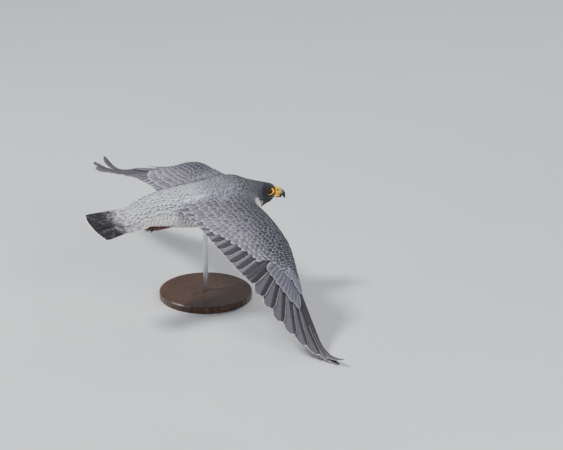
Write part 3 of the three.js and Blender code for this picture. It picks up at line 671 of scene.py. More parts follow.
def tract(name, rows, atlas, material, reach=2.3, wide=1.45, depth=1.0, keep=None,
          near=3.2):
    """A tract of small feathers: those with roots within near of the skin are grown, coloured and mapped.

    rows holds the roots, the lies, the spacings and the shares of the map; atlas is the tract's box on it.
    reach and wide are a feather's length and width in spacings, and depth is how far it stands off.
    """
    roots = rows[0]
    where = in_flight(roots)
    place, normal = settle(where)
    kept = np.linalg.norm(place - where, axis=1) < near * MM
    if keep is not None:
        kept &= keep(roots)
    roots, lies, sizes, shares = (column[kept] for column in rows)
    place, normal = place[kept], normal[kept]
    count = len(roots)
    tip = in_flight(roots + lies) - in_flight(roots)
    swerve = chance.normal(0, 0.08, count)
    tip = tip / np.linalg.norm(tip, axis=1, keepdims=True)
    tip = tip + np.cross(normal, tip) * swerve[:, None]
    length = sizes * reach * (1 + chance.normal(0, 0.07, count))
    width = sizes * wide * (1 + chance.normal(0, 0.05, count))
    top, bottom = lay_feathers(place, tip, length, width, depth)
    ground, marks = plumage(roots, normal @ UP)
    ground = ground * (1 + chance.normal(0, 0.07, count))[:, None]
    low, high = np.array(atlas[:2]), np.array(atlas[2:])
    patch = low + shares * (high - low - PATCH)
    fields = {
        "ground": ("FLOAT_COLOR", ground),
        "marks": ("FLOAT_VECTOR", marks),
        "beat": ("FLOAT", np.full(count, 2.2)),
    }
    return vane_piece(name, top, bottom, fields, material, patch)


def ring_at(fine):
    """A lookup of a fine tube's ring by the share of its length from its front end."""
    return lambda t: fine[int(round((1 - t) * (len(fine) - 1)))]


def trunk_spacing(t):
    """The gap between feathers on the trunk, from the nape to the root of the tail, in millimetres."""
    return 3.4 + 5.2 * ramp(t, 0.08, 0.42) + 0.8 * ramp(t, 0.7, 1.0)


trunk_rows = staggered(ring_at(tube_rings(TRUNK, 600, 72, -COAT)), trunk_spacing, 0.02, 0.985)
tract("body_feathers", trunk_rows, (0.0, 0.0, 0.5, 0.5), body_material, keep=lambda p: p[:, 0] > -204)

# Head feathers. They are short and close, like velvet, and leave the eyes, the cere and the gape bare.
# They grow in rows on the rings of the skull, from the bill back to the nape.
EYE_AT = np.array([1.0, 15.0, -0.4])
LID_AHEAD = 1.6
BARE_RADIUS = 9.0


def off_bare_parts(points):
    """Leaves out roots inside the ring of each eye and under the base of the bill."""
    head = to_head(points)
    hx, hy, hz = head[:, 0], np.abs(head[:, 1]), head[:, 2]
    # A feather ahead of the eye lies back over the lid, so its reach counts too.
    at_eye = np.minimum.reduce([
        np.hypot(hx - EYE_AT[0] - LID_AHEAD - reach, (hz - EYE_AT[2]) * 1.12) for reach in (0.0, 2.5, 5.0)
    ]) < BARE_RADIUS
    at_bill = (hx > 10.0) & (np.hypot(hy, hz + 5) < 9.8)
    return ~((at_eye & (hy > 12)) | at_bill)


skull_fine = on_head(tube_rings(SKULL, 600, 72, -HEAD_COAT, SKULL_POWER))
skull_rows = staggered(ring_at(skull_fine), lambda t: 1.9 + 1.5 * ramp(t, 0.3, 0.9), 0.01, 0.97)
tract(
    "head_feathers", skull_rows, (0.5, 0.0, 1.0, 0.5), body_material,
    reach=2.4, wide=1.5, depth=0.55, keep=off_bare_parts, near=2.4,
)

# Thigh feathers. They are loose, cream with fine bars, and hang round each thigh down to the bare shank.
# They grow in rows on the rings of the thigh, closer towards the shank.
for side, word, atlas in ((1, "left", (0.5, 0.5, 0.6, 0.6)), (-1, "right", (0.6, 0.5, 0.69, 0.6))):
    thigh_fine = tube_rings(THIGH if side > 0 else mirrored(THIGH), 200, 40, -COAT)
    thigh_rows = staggered(lambda t: thigh_fine[int(t * 199)], lambda t: 5.6 - 1.6 * t, 0.05, 0.97)
    tract(f"thigh_feathers_{word}", thigh_rows, atlas, body_material)

# Small coverts of the wings. They clothe the fleshy front of the wing above and below in neat rows,
# and lean outwards towards the wing's tip more and more along the span.
# LIE holds y outwards on the flat wing and which way feathers lie there, in degrees back from outwards.
LIE = np.array([[30, 93], [66, 93], [186, 68], [205, 56], [240, 34], [282, 22]], float)
WING_DARK = (0.03, 0.03, 0.036)
WING_PALE = (0.42, 0.42, 0.48)
covert_material = plumage_material(
    "wing_coverts", WING_DARK, WING_PALE, 60.0, 0.4, rim=0.72, spot=0.6, inner=0.25,
)


def fan_heading(y):
    """Which way feathers lie on the flat wing, from straight back at the root to outwards at the hand."""
    return np.radians(np.interp(y, LIE[:, 0], LIE[:, 1]))


def flesh_at(y, column):
    """A value of the flesh table at a span, in straight lines between its rows."""
    return np.interp(y, FLESH[:, 0], FLESH[:, column])


def section_at(share):
    """The upper half of the flesh's section at a share of its chord, as a share of its thickness."""
    return np.interp(share, SECTION[:, 0], SECTION[:, 1])


def wing_rows(side, face):
    """Roots in staggered chord-wise rows on the flesh of a wing, on its upper or its under face."""
    found = []
    for row, y in enumerate(np.arange(24, 278, 5.0)):
        lead, chord, thick, z = (flesh_at(y, column) for column in (1, 2, 3, 4))
        gap = 5.2 - 1.6 * ramp(y, 150, 270)
        share = np.arange(0.5 + 0.5 * (row % 2), chord * 0.97 / gap) * gap / chord
        half = section_at(share) * (1 if face > 0 else -UNDER_FULLNESS)
        x = lead - COAT - share * (chord - 2 * COAT)
        count = len(x)
        flat = np.stack([x, np.full(count, y), z + half * (thick - FLESH_THINNING * COAT)], -1)
        turn = fan_heading(y)
        root = on_wing(flat, side)
        lie = on_wing(flat + np.array([-math.sin(turn), math.cos(turn), 0.0]), side) - root
        found.append((root, lie, np.full(count, gap), np.stack([np.full(count, y / 290), share], -1)))
    return tuple(np.concatenate(column) for column in zip(*found))


for side, word in ((1, "left"), (-1, "right")):
    for face, above, inner_end in ((1, "upper", 26), (-1, "under", 40)):
        left, low = 0.25 * (side < 0) + 0.5 * (face < 0), 0.6
        tract(
            f"small_coverts_{above}_{word}", wing_rows(side, face), (left, low, left + 0.24, low + 0.2),
            covert_material, reach=2.4, wide=1.5, near=4.0, keep=lambda p: np.abs(p[:, 1]) > inner_end,
        )

# Scapulars. They hang from the shoulder over the wing's root, so that the back runs on into the wing.
# They are the longest feathers of the back, and grow on a small staggered grid over the flat wing's root.
for side, word, left in ((1, "left", 0.76), (-1, "right", 0.88)):
    x, y = np.meshgrid(np.arange(34, -76, -8.0), np.arange(25, 50, 6.5), indexing="ij")
    x = (x + 4.0 * (np.arange(y.shape[1]) % 2)[None] + chance.normal(0, 0.8, y.shape)).ravel()
    y = (y + chance.normal(0, 0.8, y.shape)).ravel()
    z = section_at((flesh_at(y, 1) - x) / flesh_at(y, 2)) * 20 - 4
    at = on_wing(np.stack([x, y, z], -1), side)
    lie = np.broadcast_to([-1.0, side * 0.16, -0.05], at.shape)
    rows = (at, lie, 8.0 + 1.5 * ramp(-x, -20, 60), np.stack([(34 - x) / 120, (y - 20) / 34], -1))
    tract(
        f"scapulars_{word}", rows, (left, 0.5, left + 0.11, 0.6), covert_material,
        reach=3.6, wide=1.75, depth=1.9, near=14.0,
    )


# Large feathers of the wings and tail. Each is a stiff vane on a shaft: narrow in front, broad behind,
# tilted so that its front edge lies over the next feather, and bent up towards its tip by the air.
# CUP is the hollow of a vane as a share of its width, and CURL_FROM is where along it the air bends it up.
CUP = 0.03
CURL_FROM = 0.55


def grow_blades(root, heading, length, width, place, rows, cols, lead=0.35, tilt=0.12, rise=0.0, bow=0.0,
                swing=0.0, curl=0.0, round_from=0.86, narrow=0.0):
    """Top and bottom grids of large vanes.

    The shaft is the sum of short steps that turn by bow and climb by curl along the length. The width runs
    out of the root, holds, and ends in a quarter ellipse; the vane is cupped and has a ridge on its shaft.
    lead is the front vane's share of the width, tilt the slope across, rise the slope along, swing an S-bend,
    and narrow how much the outer half is notched. place puts the flat grid on the wing or the tail.
    """
    root = np.asarray(root, float)
    count = len(root)
    heading, length, width, lead, tilt, rise, bow, swing, curl, narrow = (
        np.broadcast_to(np.asarray(value, float), count)[:, None]
        for value in (heading, length, width, lead, tilt, rise, bow, swing, curl, narrow)
    )
    u = (1 - (1 - np.arange(rows) / (rows - 1)) ** 1.5)[None]
    turn = heading + bow * u + swing * (1 - 2 * u)
    flat = np.stack([-np.sin(turn), np.cos(turn), np.zeros_like(turn)], -1)
    front = np.stack([np.cos(turn), np.sin(turn), np.zeros_like(turn)], -1)
    climb = rise + curl * 0.7 * ramp(u, CURL_FROM, 1.0)
    up = np.array([0, 0, 1.0])
    along = flat * np.cos(climb)[..., None] + up * np.sin(climb)[..., None]
    normal = up * np.cos(climb)[..., None] - flat * np.sin(climb)[..., None]
    step = np.diff(u, axis=1, prepend=0)
    middle = root[:, None] + np.cumsum(along * (length * step)[..., None], axis=1)
    over = np.clip((u - round_from) / (1 - round_from), 0, 1)
    shape = (0.35 + 0.65 * ramp(u, 0.0, 0.35)) * np.sqrt(1 - 0.985 * over ** 2.2)
    shape = shape * (1 - narrow * ramp(u, 0.45, 0.75))
    v = np.linspace(-1, 1, cols)[None, None]
    share = np.where(v > 0, lead[..., None] * v, (1 - lead[..., None]) * v)
    out = share * (width * shape)[..., None]
    hollow = CUP * (width * shape)[..., None] * (1 - v * v)
    ridge = 0.28 * np.exp(-(v / 0.16) ** 2) * (1 - 0.6 * u[..., None])
    lift = out * (tilt * (1 - 0.3 * u))[..., None] + hollow
    half = 0.1 + 0.1 * (1 - np.abs(v)) + ridge
    spine = middle[:, :, None] + out[..., None] * front[:, :, None]
    top = spine + (lift + half)[..., None] * normal[:, :, None]
    bottom = spine + (lift - half)[..., None] * normal[:, :, None]
    return in_flight(place(top)), in_flight(place(bottom))


def large_vanes(name, grids, ground, marks, beat, material, cell, span=0.46):
    """A set of large vanes as one piece, each at its root's place on a strip of the map that is span long."""
    top, bottom = grids
    count = len(top)
    patch = np.array(cell) + np.stack([np.arange(count) / count * span, np.zeros(count)], -1)
    shade = (1 + chance.normal(0, 0.05, count))[:, None]
    fields = {
        "ground": ("FLOAT_COLOR", np.asarray(ground, float) * shade),
        "marks": ("FLOAT_VECTOR", np.broadcast_to(np.asarray(marks, float), (count, 3))),
        "beat": ("FLOAT", np.full(count, beat)),
    }
    return vane_piece(name, top, bottom, fields, material, patch)


FLIGHT_DARK = (0.022, 0.021, 0.023)
FLIGHT_PALE = (0.85, 0.82, 0.8)
FLIGHT_GREY = np.array([0.03, 0.028, 0.033])
flight_material = plumage_material(
    "flight_feathers", FLIGHT_DARK, FLIGHT_PALE, 300.0, 0.3, rim=0.88, spot=0.3, inner=2.2,
)
# Where the tips of the flight feathers end on the flat wing: x and y outwards. The four outer ones of each
# wing differ, and so does how far each primary curls up.
PRIMARY_TIPS = [[-74, 255], [-66, 288], [-56, 320], [-46, 354], [-31, 387], [-16, 416]]
OUTER_TIPS = {1: [[0, 438], [12, 456], [18, 474], [16, 440]], -1: [[2, 442], [14, 466], [25, 487], [29, 497]]}
PRIMARY_CURL = {
    1: [0.04, 0.05, 0.07, 0.1, 0.15, 0.25, 0.3, 0.4, 0.55, 1.1],
    -1: [0.04, 0.05, 0.07, 0.1, 0.15, 0.2, 0.3, 0.5, 0.8, 1.3],
}
PRIMARY_SWING = [0, 0, 0, 0, 0.03, 0.06, 0.09, 0.13, 0.17, 0.21]
SECONDARY_TIPS = np.array([
    [-128, 44], [-124, 61], [-121, 78], [-119, 96], [-118, 113], [-117, 131], [-114, 149],
    [-110, 167], [-104, 185], [-98, 203], [-91, 220], [-84, 236], [-79, 245],
], float)


def tips_to_blades(roots, tips, side, **shape):
    """Blades from roots to tips, both on the flat wing."""
    heading = np.arctan2(roots[:, 0] - tips[:, 0], tips[:, 1] - roots[:, 1])
    length = np.hypot(tips[:, 0] - roots[:, 0], tips[:, 1] - roots[:, 1])
    return grow_blades(roots, heading, length, place=lambda p: on_wing(p, side), **shape)


def covert_tier(name, side, count, y0, y1, back, length, width, height, fan, cell, ground, marks, face=1):
    """One tier of large coverts, with roots on a line along the flesh.

    Roots stand at the share back of the chord, above (face 1) or below (face -1). Length, width and fan (the
    way they lie, in degrees) run from the inner end at y0 to the outer end at y1, height from root to tip.
    """
    t = np.linspace(0, 1, count)
    y = y0 + (y1 - y0) * t
    root = np.stack([flesh_at(y, 1) - flesh_at(y, 2) * back, y, np.full(count, face * height[0])], -1)
    reach = (length[0] + (length[1] - length[0]) * t) * (1 + chance.normal(0, 0.02, count))
    grids = grow_blades(
        root, np.radians(fan[0] + (fan[1] - fan[0]) * t), reach, width[0] + (width[1] - width[0]) * t,
        place=lambda p: on_wing(p, side), rows=14, cols=7, lead=0.42, tilt=0.06,
        rise=np.arctan2(face * (height[1] - height[0]), reach), round_from=0.72,
    )
    large_vanes(name, grids, ground, marks, 2.6, covert_material, cell)


COVERT_GREY = np.array([0.155, 0.15, 0.188])
# Where the tips of the greater coverts end on the flat wing: y outwards and x.
COVERT_END = np.array([
    [30, -114], [60, -112], [90, -110], [124, -104], [152, -86], [174, -67],
    [200, -47], [216, -36], [228, -16], [246, 0], [282, 16],
], float)
# Each row of coverts on the arm, from the greater to the least: how far its tips lie from the
# greater coverts' tips towards the leading edge, the gap between feathers, the length, and the lift.
COVERT_ROWS = [
    (0.0, 10.0, 62, 0.0), (0.15, 9.0, 48, 0.7), (0.27, 8.2, 36, 1.0), (0.37, 7.6, 30, 1.2),
    (0.46, 7.0, 26, 1.3), (0.545, 6.6, 23, 1.3), (0.625, 6.2, 20, 1.3), (0.70, 5.8, 18, 1.3),
    (0.77, 5.4, 16, 1.2), (0.835, 5.0, 14, 1.2), (0.895, 4.8, 12, 1.1), (0.945, 4.6, 10, 1.0),
]


def wing_top(x, y):
    """Height of the wing's upper face on the flat wing: the flesh, then the level of the flight feathers."""
    share = (flesh_at(y, 1) - x) / flesh_at(y, 2)
    flesh = flesh_at(y, 4) + section_at(share) * flesh_at(y, 3)
    return np.maximum(flesh * (1 - ramp(share, 1.0, 1.25)), 2.3)


def wing_grey(x, y):
    """The coverts' ground: darker along the leading edge, a warm mid grey behind."""
    share = (ramp(x, -80, 20) * (0.5 + 0.5 * ramp(y, 40, 90)))[:, None]
    inner = (0.78 + 0.22 * ramp(y, 60, 130))[:, None]
    return COVERT_GREY * (1.25 - 1.0 * share) * inner + np.array([0.012, 0.004, 0.0]) * (1 - share)


def covert_rows(side, word, lane):
    """Rows of coverts on the upper arm. Each blade runs back from root to tip along the wing's face."""
    for number, (share, gap, length, lift) in enumerate(COVERT_ROWS):
        y = np.arange(33 + gap * 0.5 * (number % 2), 216 if number < 2 else 268, gap)
        count = len(y)
        y = y + chance.normal(0, 0.09 * gap, count)
        end = np.interp(y, COVERT_END[:, 0], COVERT_END[:, 1])
        x = end + (flesh_at(y, 1) - end) * share + chance.normal(0, 1.5, count)
        turn = fan_heading(y) + chance.normal(0, 0.06, count)
        reach = length * (1 + chance.normal(0, 0.03, count))
        rows, cols = (14, 7) if number < 3 else (8, 5)
        u = np.linspace(0, 1, rows)[None, :, None]
        v = np.linspace(-1, 1, cols)[None, None, :]
        over = np.clip((u - 0.62) / 0.38, 0, 1)
        wide = gap * 1.62 * (0.7 + 0.3 * ramp(u, 0, 0.3)) * np.sqrt(1 - 0.97 * over ** 2.4)
        away, out = np.broadcast_arrays(reach[:, None, None] * (u - 1), v * wide / 2)
        c, s = np.cos(turn)[:, None, None], np.sin(turn)[:, None, None]
        px = x[:, None, None] - away * s + out * c
        py = y[:, None, None] + away * c + out * s
        # A root that would lie ahead of the wing's edge is drawn back to it.
        px = px - 0.8 * np.maximum(px - flesh_at(py, 1) + 4.0, 0.0)
        height = wing_top(px, py) + lift - 0.6 + 1.5 * u + 0.28 * v - 0.35 * v * v
        half = 0.12 + 0.1 * (1 - np.abs(v))
        grids = [in_flight(on_wing(np.stack([px, py, z], -1), side)) for z in (height + half, height - half)]
        ground = wing_grey(x, y) * (1 + chance.normal(0, 0.13, count))[:, None]
        marks = (0.75, 0.82 - 0.04 * number, 0.0) if number > 1 else (0.5, 0.85, 0.12)
        large_vanes(
            f"covert_row_{number:02d}_{word}", grids, ground, marks, 2.6, covert_material,
            (lane / 2, 0.502 + 0.008 * number), span=0.24,
        )


for side, word, lane in ((1, "left", 0.0), (-1, "right", 0.5)):
    tips = np.array(PRIMARY_TIPS + OUTER_TIPS[side], float)
    t = np.linspace(0, 1, len(tips))
    primaries = tips_to_blades(
        np.stack([12 + 21 * t, 202 + 62 * t, 0 * t], -1), tips, side, width=30 - 9 * t, lead=0.36 - 0.12 * t,
        tilt=0.13, bow=0.02 + 0.08 * t, swing=PRIMARY_SWING, curl=PRIMARY_CURL[side], narrow=0.35 * (t > 0.7),
        rows=36, cols=11, round_from=0.84,
    )
    large_vanes(
        f"primaries_{word}", primaries, FLIGHT_GREY, (0.1, 0.85, 0.12), 9.0, flight_material, (lane, 0.82),
    )
    t = np.linspace(0, 1, len(SECONDARY_TIPS))
    y = 50 + 148 * t
    secondaries = tips_to_blades(
        np.stack([flesh_at(y, 1) - flesh_at(y, 2) + 14, y, 0 * y], -1), SECONDARY_TIPS, side,
        width=28.0, lead=0.42, tilt=0.1, bow=0.05, rows=24, cols=9,
    )
    inner = 1 - ramp(SECONDARY_TIPS[:, 1], 90, 160)
    grey = blend_to(np.tile(FLIGHT_GREY * 1.7, (len(t), 1)), COVERT_GREY * 0.7, inner)
    large_vanes(
        f"secondaries_{word}", secondaries, grey, (0.15, 0.85, 0.15), 6.0, flight_material, (lane, 0.84),
    )
    covert_rows(side, word, lane)
    covert_tier(
        f"primary_coverts_{word}", side, 10, 206, 266, 0.5, (56, 66), (17, 13), (1.4, 3.4), (58, 20),
        (lane, 0.9), COVERT_GREY * 0.75, (0.4, 0.8, 0.0),
    )
    covert_tier(
        f"alula_{word}", side, 4, 212, 236, 0.14, (46, 62), (13, 10), (2.4, 6.0), (27, 14),
        (lane, 0.92), COVERT_GREY * 0.8, (0.3, 0.5, 0.0),
    )
    covert_tier(
        f"under_coverts_arm_{word}", side, 12, 48, 186, 0.62, (62, 48), (24, 20), (1.6, 3.4), (94, 68),
        (lane, 0.94), CREAM * 0.7, (0.2, 0.4, 0.7), face=-1,
    )
    covert_tier(
        f"under_coverts_hand_{word}", side, 9, 202, 264, 0.55, (52, 60), (20, 15), (1.2, 2.6), (58, 22),
        (lane, 0.96), CREAM * 0.6, (0.2, 0.4, 0.7), face=-1,
    )

# Tail. Twelve long feathers in a narrow fan, the middle ones on top, pale grey at the base and nearly
# black towards the white tip; short coverts above and below cover their roots.
TAIL_AT = np.array([-141.0, 0.0, -8.0])
TAIL_DROOP = math.radians(10.2)
TAIL_ROLL = math.radians(9)
TAIL_FEATHERS = 12
TAIL_ROOT_HALF = 18
TAIL_SPREAD = math.radians(7.2)
COVERT_SPREAD = math.radians(9)
TAIL_GREY = np.array([0.5, 0.49, 0.54])


def on_tail(points):
    """Tail frame to bird frame: rolled about x, drooped about y, then put at the tail's root."""
    points = np.asarray(points, float)
    c, s = math.cos(TAIL_ROLL), math.sin(TAIL_ROLL)
    x, y, z = points[..., 0], c * points[..., 1] - s * points[..., 2], s * points[..., 1] + c * points[..., 2]
    c, s = math.cos(-TAIL_DROOP), math.sin(-TAIL_DROOP)
    return np.stack([c * x + s * z, y, -s * x + c * z], -1) + TAIL_AT


def tail_material():
    """The feather markings, darkened along each feather from pale grey at the base to near black."""
    material = plumage_material(
        "tail_feathers", (0.02, 0.019, 0.02), (0.85, 0.82, 0.78), 300.0, 0.3, rim=0.93, spot=0.3,
    )
    n = Nodes(material.node_tree)
    marks = next(node for node in n.tree.nodes if node.type == "GROUP")
    _, along, _ = n.vane_map()
    fine = n.noise(110.0, Detail=6.0, Roughness=0.75)
    broad = n.noise(120.0, Detail=3.0, Roughness=0.6)
    darkening = n.ramp(n.maths("ADD", along, n.maths("MULTIPLY_ADD", fine, 0.7, -0.35)), 0.25, 0.6)
    black = n.mix(n.ramp(broad, 0.48, 0.8), (0.014, 0.013, 0.016), (0.1, 0.096, 0.11))
    tone = n.mix(darkening, marks.outputs["Color"], black)
    tone = n.mix(n.ramp(along, 0.93, 0.95), tone, (0.85, 0.82, 0.77))
    n.feed(n.tree.nodes["Principled BSDF"], Base_Color=tone)
    return material


k = np.linspace(-1, 1, TAIL_FEATHERS)
tail_root = np.stack([np.full(TAIL_FEATHERS, -14.0), k * TAIL_ROOT_HALF, -2 + (1 - np.abs(k)) * 3.2], -1)
tail_grids = grow_blades(
    tail_root, math.pi / 2 - k * TAIL_SPREAD, 143 - 7 * k * k, 24.0, on_tail,
    lead=np.where(k > 0, 0.38, 0.62), tilt=-np.sign(k) * 0.07, rows=30, cols=9, round_from=0.9,
)
large_vanes(
    "tail_feathers", tail_grids, TAIL_GREY, (0.1, 0.9, 0.3), 11.0, tail_material(), (0.7, 0.52), span=0.055,
)


def tail_coverts(name, face, count, spread, heights, reach, wide, cell, ground, marks):
    """Coverts over or under the tail's roots, fanned like the tail."""
    k = np.linspace(-1, 1, count)
    root = np.stack([np.full(count, -30.0), k * spread, heights[0] - 2.5 * k * k * face], -1)
    length = reach - 10 * k * k + chance.normal(0, 5, count)
    grids = grow_blades(
        root, math.pi / 2 - k * COVERT_SPREAD, length, wide, on_tail, lead=np.where(k > 0, 0.42, 0.58),
        tilt=-np.sign(k) * face * 0.05, rise=np.arctan2(heights[1] - heights[0], length),
        rows=14, cols=7, round_from=0.7,
    )
    large_vanes(name, grids, ground, marks, 3.4, body_material, cell, span=0.05)


tail_coverts(
    "tail_coverts_upper", 1, 11, 20, (9, 2.2), 56, 15, (0.7, 0.54), RUMP_GREY * 0.8, (0.7, 0.1, 0.45),
)
tail_coverts(
    "tail_coverts_under", -1, 9, 21, (-14, -7), 74, 22, (0.7, 0.56), CREAM * 0.85, (0.1, 0.2, 0.5),
)

# Eyes. Dark brown balls under a wet clear surface, each in a bare yellow ring of lid,
# which is thick ahead of the eye, thin below it and hidden by feathers above it.
EYE_RADIUS = 8.0
LOOK = (0.28, 0.96, 0.0)
LID_RADIUS = 6.9
LID_THICK = 1.4
LID_OUT = 19.6


def ball(centre, radius, rings=24, sides=32):
    """A closed ball as rings from pole to pole along y."""
    a = np.linspace(0.02, math.pi - 0.02, rings)[:, None]
    b = np.arange(sides)[None] / sides * 2 * math.pi
    points = np.stack([np.sin(a) * np.cos(b), np.cos(a) + 0 * b, np.sin(a) * np.sin(b)], -1)
    return tube_faces(np.asarray(centre) + radius * points)


def ring_round_eye(side):
    """A lid's bare edge in the head's side: a torus that is thick ahead, thin below and hidden above."""
    a = np.arange(48)[:, None] / 48 * 2 * math.pi
    b = np.arange(12)[None] / 12 * 2 * math.pi
    ahead = ramp(np.cos(a - 0.35), 0.35, 0.95)
    below = ramp(-np.sin(a), -0.2, 0.5)
    tube = LID_THICK * (0.12 + 1.75 * ahead + 0.5 * below * (1 - ahead)) * (1 + 0.06 * np.sin(5 * a + 1))
    r = LID_RADIUS + tube * np.cos(b)
    flat = np.stack([r * np.cos(a), tube * 0.75 * np.sin(b), r * np.sin(a) * 0.88], -1)
    turn = -side * 0.3
    c, s = math.cos(turn), math.sin(turn)
    x, y, z = np.moveaxis(flat, -1, 0)
    turned = np.stack([c * x - s * y, s * x + c * y, z], -1)
    return turned + (EYE_AT[0] + LID_AHEAD, side * LID_OUT, EYE_AT[2])


def torus_faces(rings):
    """Points and quads of a ring of rings that closes on itself both ways."""
    n, k = rings.shape[:2]
    i, j = np.meshgrid(np.arange(n), np.arange(k), indexing="ij")
    a, b = i * k + j, i * k + (j + 1) % k
    c, d = ((i + 1) % n) * k + (j + 1) % k, ((i + 1) % n) * k + j
    return rings.reshape(-1, 3), np.stack([a, b, c, d], -1).reshape(-1, 4)


def fix_normals(piece):
    """Turns a closed piece's faces outwards."""
    work = bmesh.new()
    work.from_mesh(piece.data)
    bmesh.ops.recalc_face_normals(work, faces=work.faces)
    work.to_mesh(piece.data)
    work.free()


eye_material, n, shader = new_material("eye")
brown = n.mix(n.noise(900.0), (0.035, 0.014, 0.006), (0.012, 0.005, 0.003))
n.feed(shader, Base_Color=n.mix(n.ramp(n.field("from_pupil"), 0.42, 0.5), (0.001, 0.001, 0.001), brown))
shader.inputs["Roughness"].default_value = 0.06
shader.inputs["Specular IOR Level"].default_value = 0.3

yellow_material, n, shader = new_material("yellow_skin")
pores = n.noise(700.0, Detail=4.0)
tone = n.mix(n.noise(160.0, Detail=2.0), (0.95, 0.38, 0.0), (0.98, 0.58, 0.0))
rough = n.maths("MULTIPLY_ADD", pores, 0.25, 0.32)
n.feed(shader, Base_Color=tone, Roughness=rough, Normal=n.bump(0.4, 0.0003, pores))
shader.inputs["Specular IOR Level"].default_value = 0.15
shader.inputs["Subsurface Weight"].default_value = 0.15
shader.inputs["Subsurface Radius"].default_value = (0.002, 0.001, 0.0004)

for side, word in ((1, "left"), (-1, "right")):
    centre = EYE_AT * (1, side, 1)
    points, faces = ball(centre, EYE_RADIUS)
    eye = new_piece(f"eyeball_{word}", in_flight(on_head(points)), faces)
    look = np.array(LOOK) * (1, side, 1)
    away = np.linalg.norm((points - centre) / EYE_RADIUS - look / np.linalg.norm(look), axis=1)
    put_field(eye.data, "from_pupil", "FLOAT", away)
    eye.data.materials.append(eye_material)
    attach(eye, "root")
    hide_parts(f"eye_{word}")
    points, faces = torus_faces(ring_round_eye(side))
    lid = new_piece(f"eye_ring_{word}", in_flight(on_head(points)), faces)
    fix_normals(lid)
    lid.data.materials.append(yellow_material)
    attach(lid, "root")

# Bill. A short, deep, hooked upper bill of horn, a lower bill that closes under it, and a soft yellow cere
# over its base that holds the round nostrils. Yellow skin also lines the corner of the mouth.
BILL = [
    [13, 0, -2.1, 8.4, 9.4, 8.5],
    [19, 0, -1.7, 7.8, 8.6, 8],
    [25, 0, -2.3, 6.6, 7.6, 7],
    [30.5, 0, -4.1, 5.2, 6.2, 5.8],
    [35, 0, -7.6, 3.6, 4.4, 4],
    [37.8, 0, -12.1, 2, 2.4, 2.2],
    [38.6, 0, -17.1, 0.5, 0.6, 0.5],
]
CERE = [
    [13, 0, -2.1, 8.85, 9.85, 8.95],
    [19, 0, -1.7, 8.25, 9.05, 8.45],
    [24.4, 0, -2.2, 6.6, 7.6, 7.0],
]
LOWER_BILL = [
    [9.5, 0, -10.9, 8.4, 4, 3.8],
    [17, 0, -11.7, 7.2, 4.6, 4],
    [25, 0, -12.1, 5.8, 4.6, 3.5],
    [32, 0, -12.5, 3, 3, 1.9],
]
NOSTRIL_AT = np.array([20.6, 6.7, 1.5])
NOSTRIL_RADIUS = 2.0
# The yellow skin of the gape, from under the cere back to the corner of the mouth, on the left.
GAPE = [
    [26, 5.4, -9.6, 1.2, 1.4, 1.6],
    [17, 7.4, -10.2, 1.5, 1.9, 2.2],
    [8, 10.8, -12.2, 1.5, 1.4, 1.4],
]

horn_material, n, shader = new_material("horn")
grain = n.noise(400.0, Detail=4.0)
to_tip = n.ramp(n.maths("MULTIPLY_ADD", grain, 0.25, n.field("to_tip")), 0.55, 0.95)
tone = n.mix(to_tip, (0.5, 0.42, 0.16), (0.012, 0.012, 0.016))
rough = n.maths("MULTIPLY_ADD", grain, 0.2, 0.2)
n.feed(shader, Base_Color=tone, Roughness=rough, Normal=n.bump(0.2, 0.0002, grain))
# The nostrils are dark brown balls on the cere: painted shade that stands for the open hole of each nostril.
nostril_hole_shade, n, shader = new_material("nostril")
n.feed(shader, Base_Color=n.mix(n.noise(900.0), (0.02, 0.008, 0.003), (0.06, 0.025, 0.008)))


def bill_piece(name, table, steps, sides, material, node):
    """A loft of the bill in the head frame, with the share of its length as a field."""
    points, faces = tube_faces(tube_rings(table, steps, sides, power=2.0))
    piece = new_piece(name, in_flight(on_head(points)), faces)
    share = (points[:, 0] - points[:, 0].min()) / np.ptp(points[:, 0])
    put_field(piece.data, "to_tip", "FLOAT", share - points[:, 2] * 0.01)
    piece.data.materials.append(material)
    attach(piece, "root")
    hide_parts(node)


bill_piece("upper_bill", BILL, 48, 40, horn_material, "bill_upper")
bill_piece("cere_skin", CERE, 20, 40, yellow_material, "cere")
bill_piece("lower_bill", LOWER_BILL, 30, 32, horn_material, "bill_lower")
for side, word in ((1, "left"), (-1, "right")):
    nostril = ball(NOSTRIL_AT * (1, side, 1), NOSTRIL_RADIUS, 12, 16)
    gape = tube_faces(tube_rings(GAPE if side > 0 else mirrored(GAPE), 16, 10))
    for name, (points, faces), material in (
        (f"nostril_{word}", nostril, nostril_hole_shade), (f"gape_{word}", gape, yellow_material),
    ):
        piece = new_piece(name, in_flight(on_head(points)), faces)
        piece.data.materials.append(material)
        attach(piece, "root")

# Legs. Scaled shanks and clenched feet with black claws, drawn back under the tail. Their yellow-brown skin
# is painted dark brown as painted shade, since they lie in shadow under the tail.
# Each foot is a pad with four tapered toes, and each toe ends in a claw that curves down.
SHANK = [[-106, 17, -34, 4.4, 4, 4.4], [-128, 16.5, -38.5, 3.8, 3.6, 3.8], [-144, 16, -40, 4.2, 3.8, 4.2]]
PAD = [[-142, 16, -40, 4, 3.6, 4], [-150, 16, -40, 6.4, 4, 4.2], [-157, 16, -40, 5, 3.4, 3.8]]
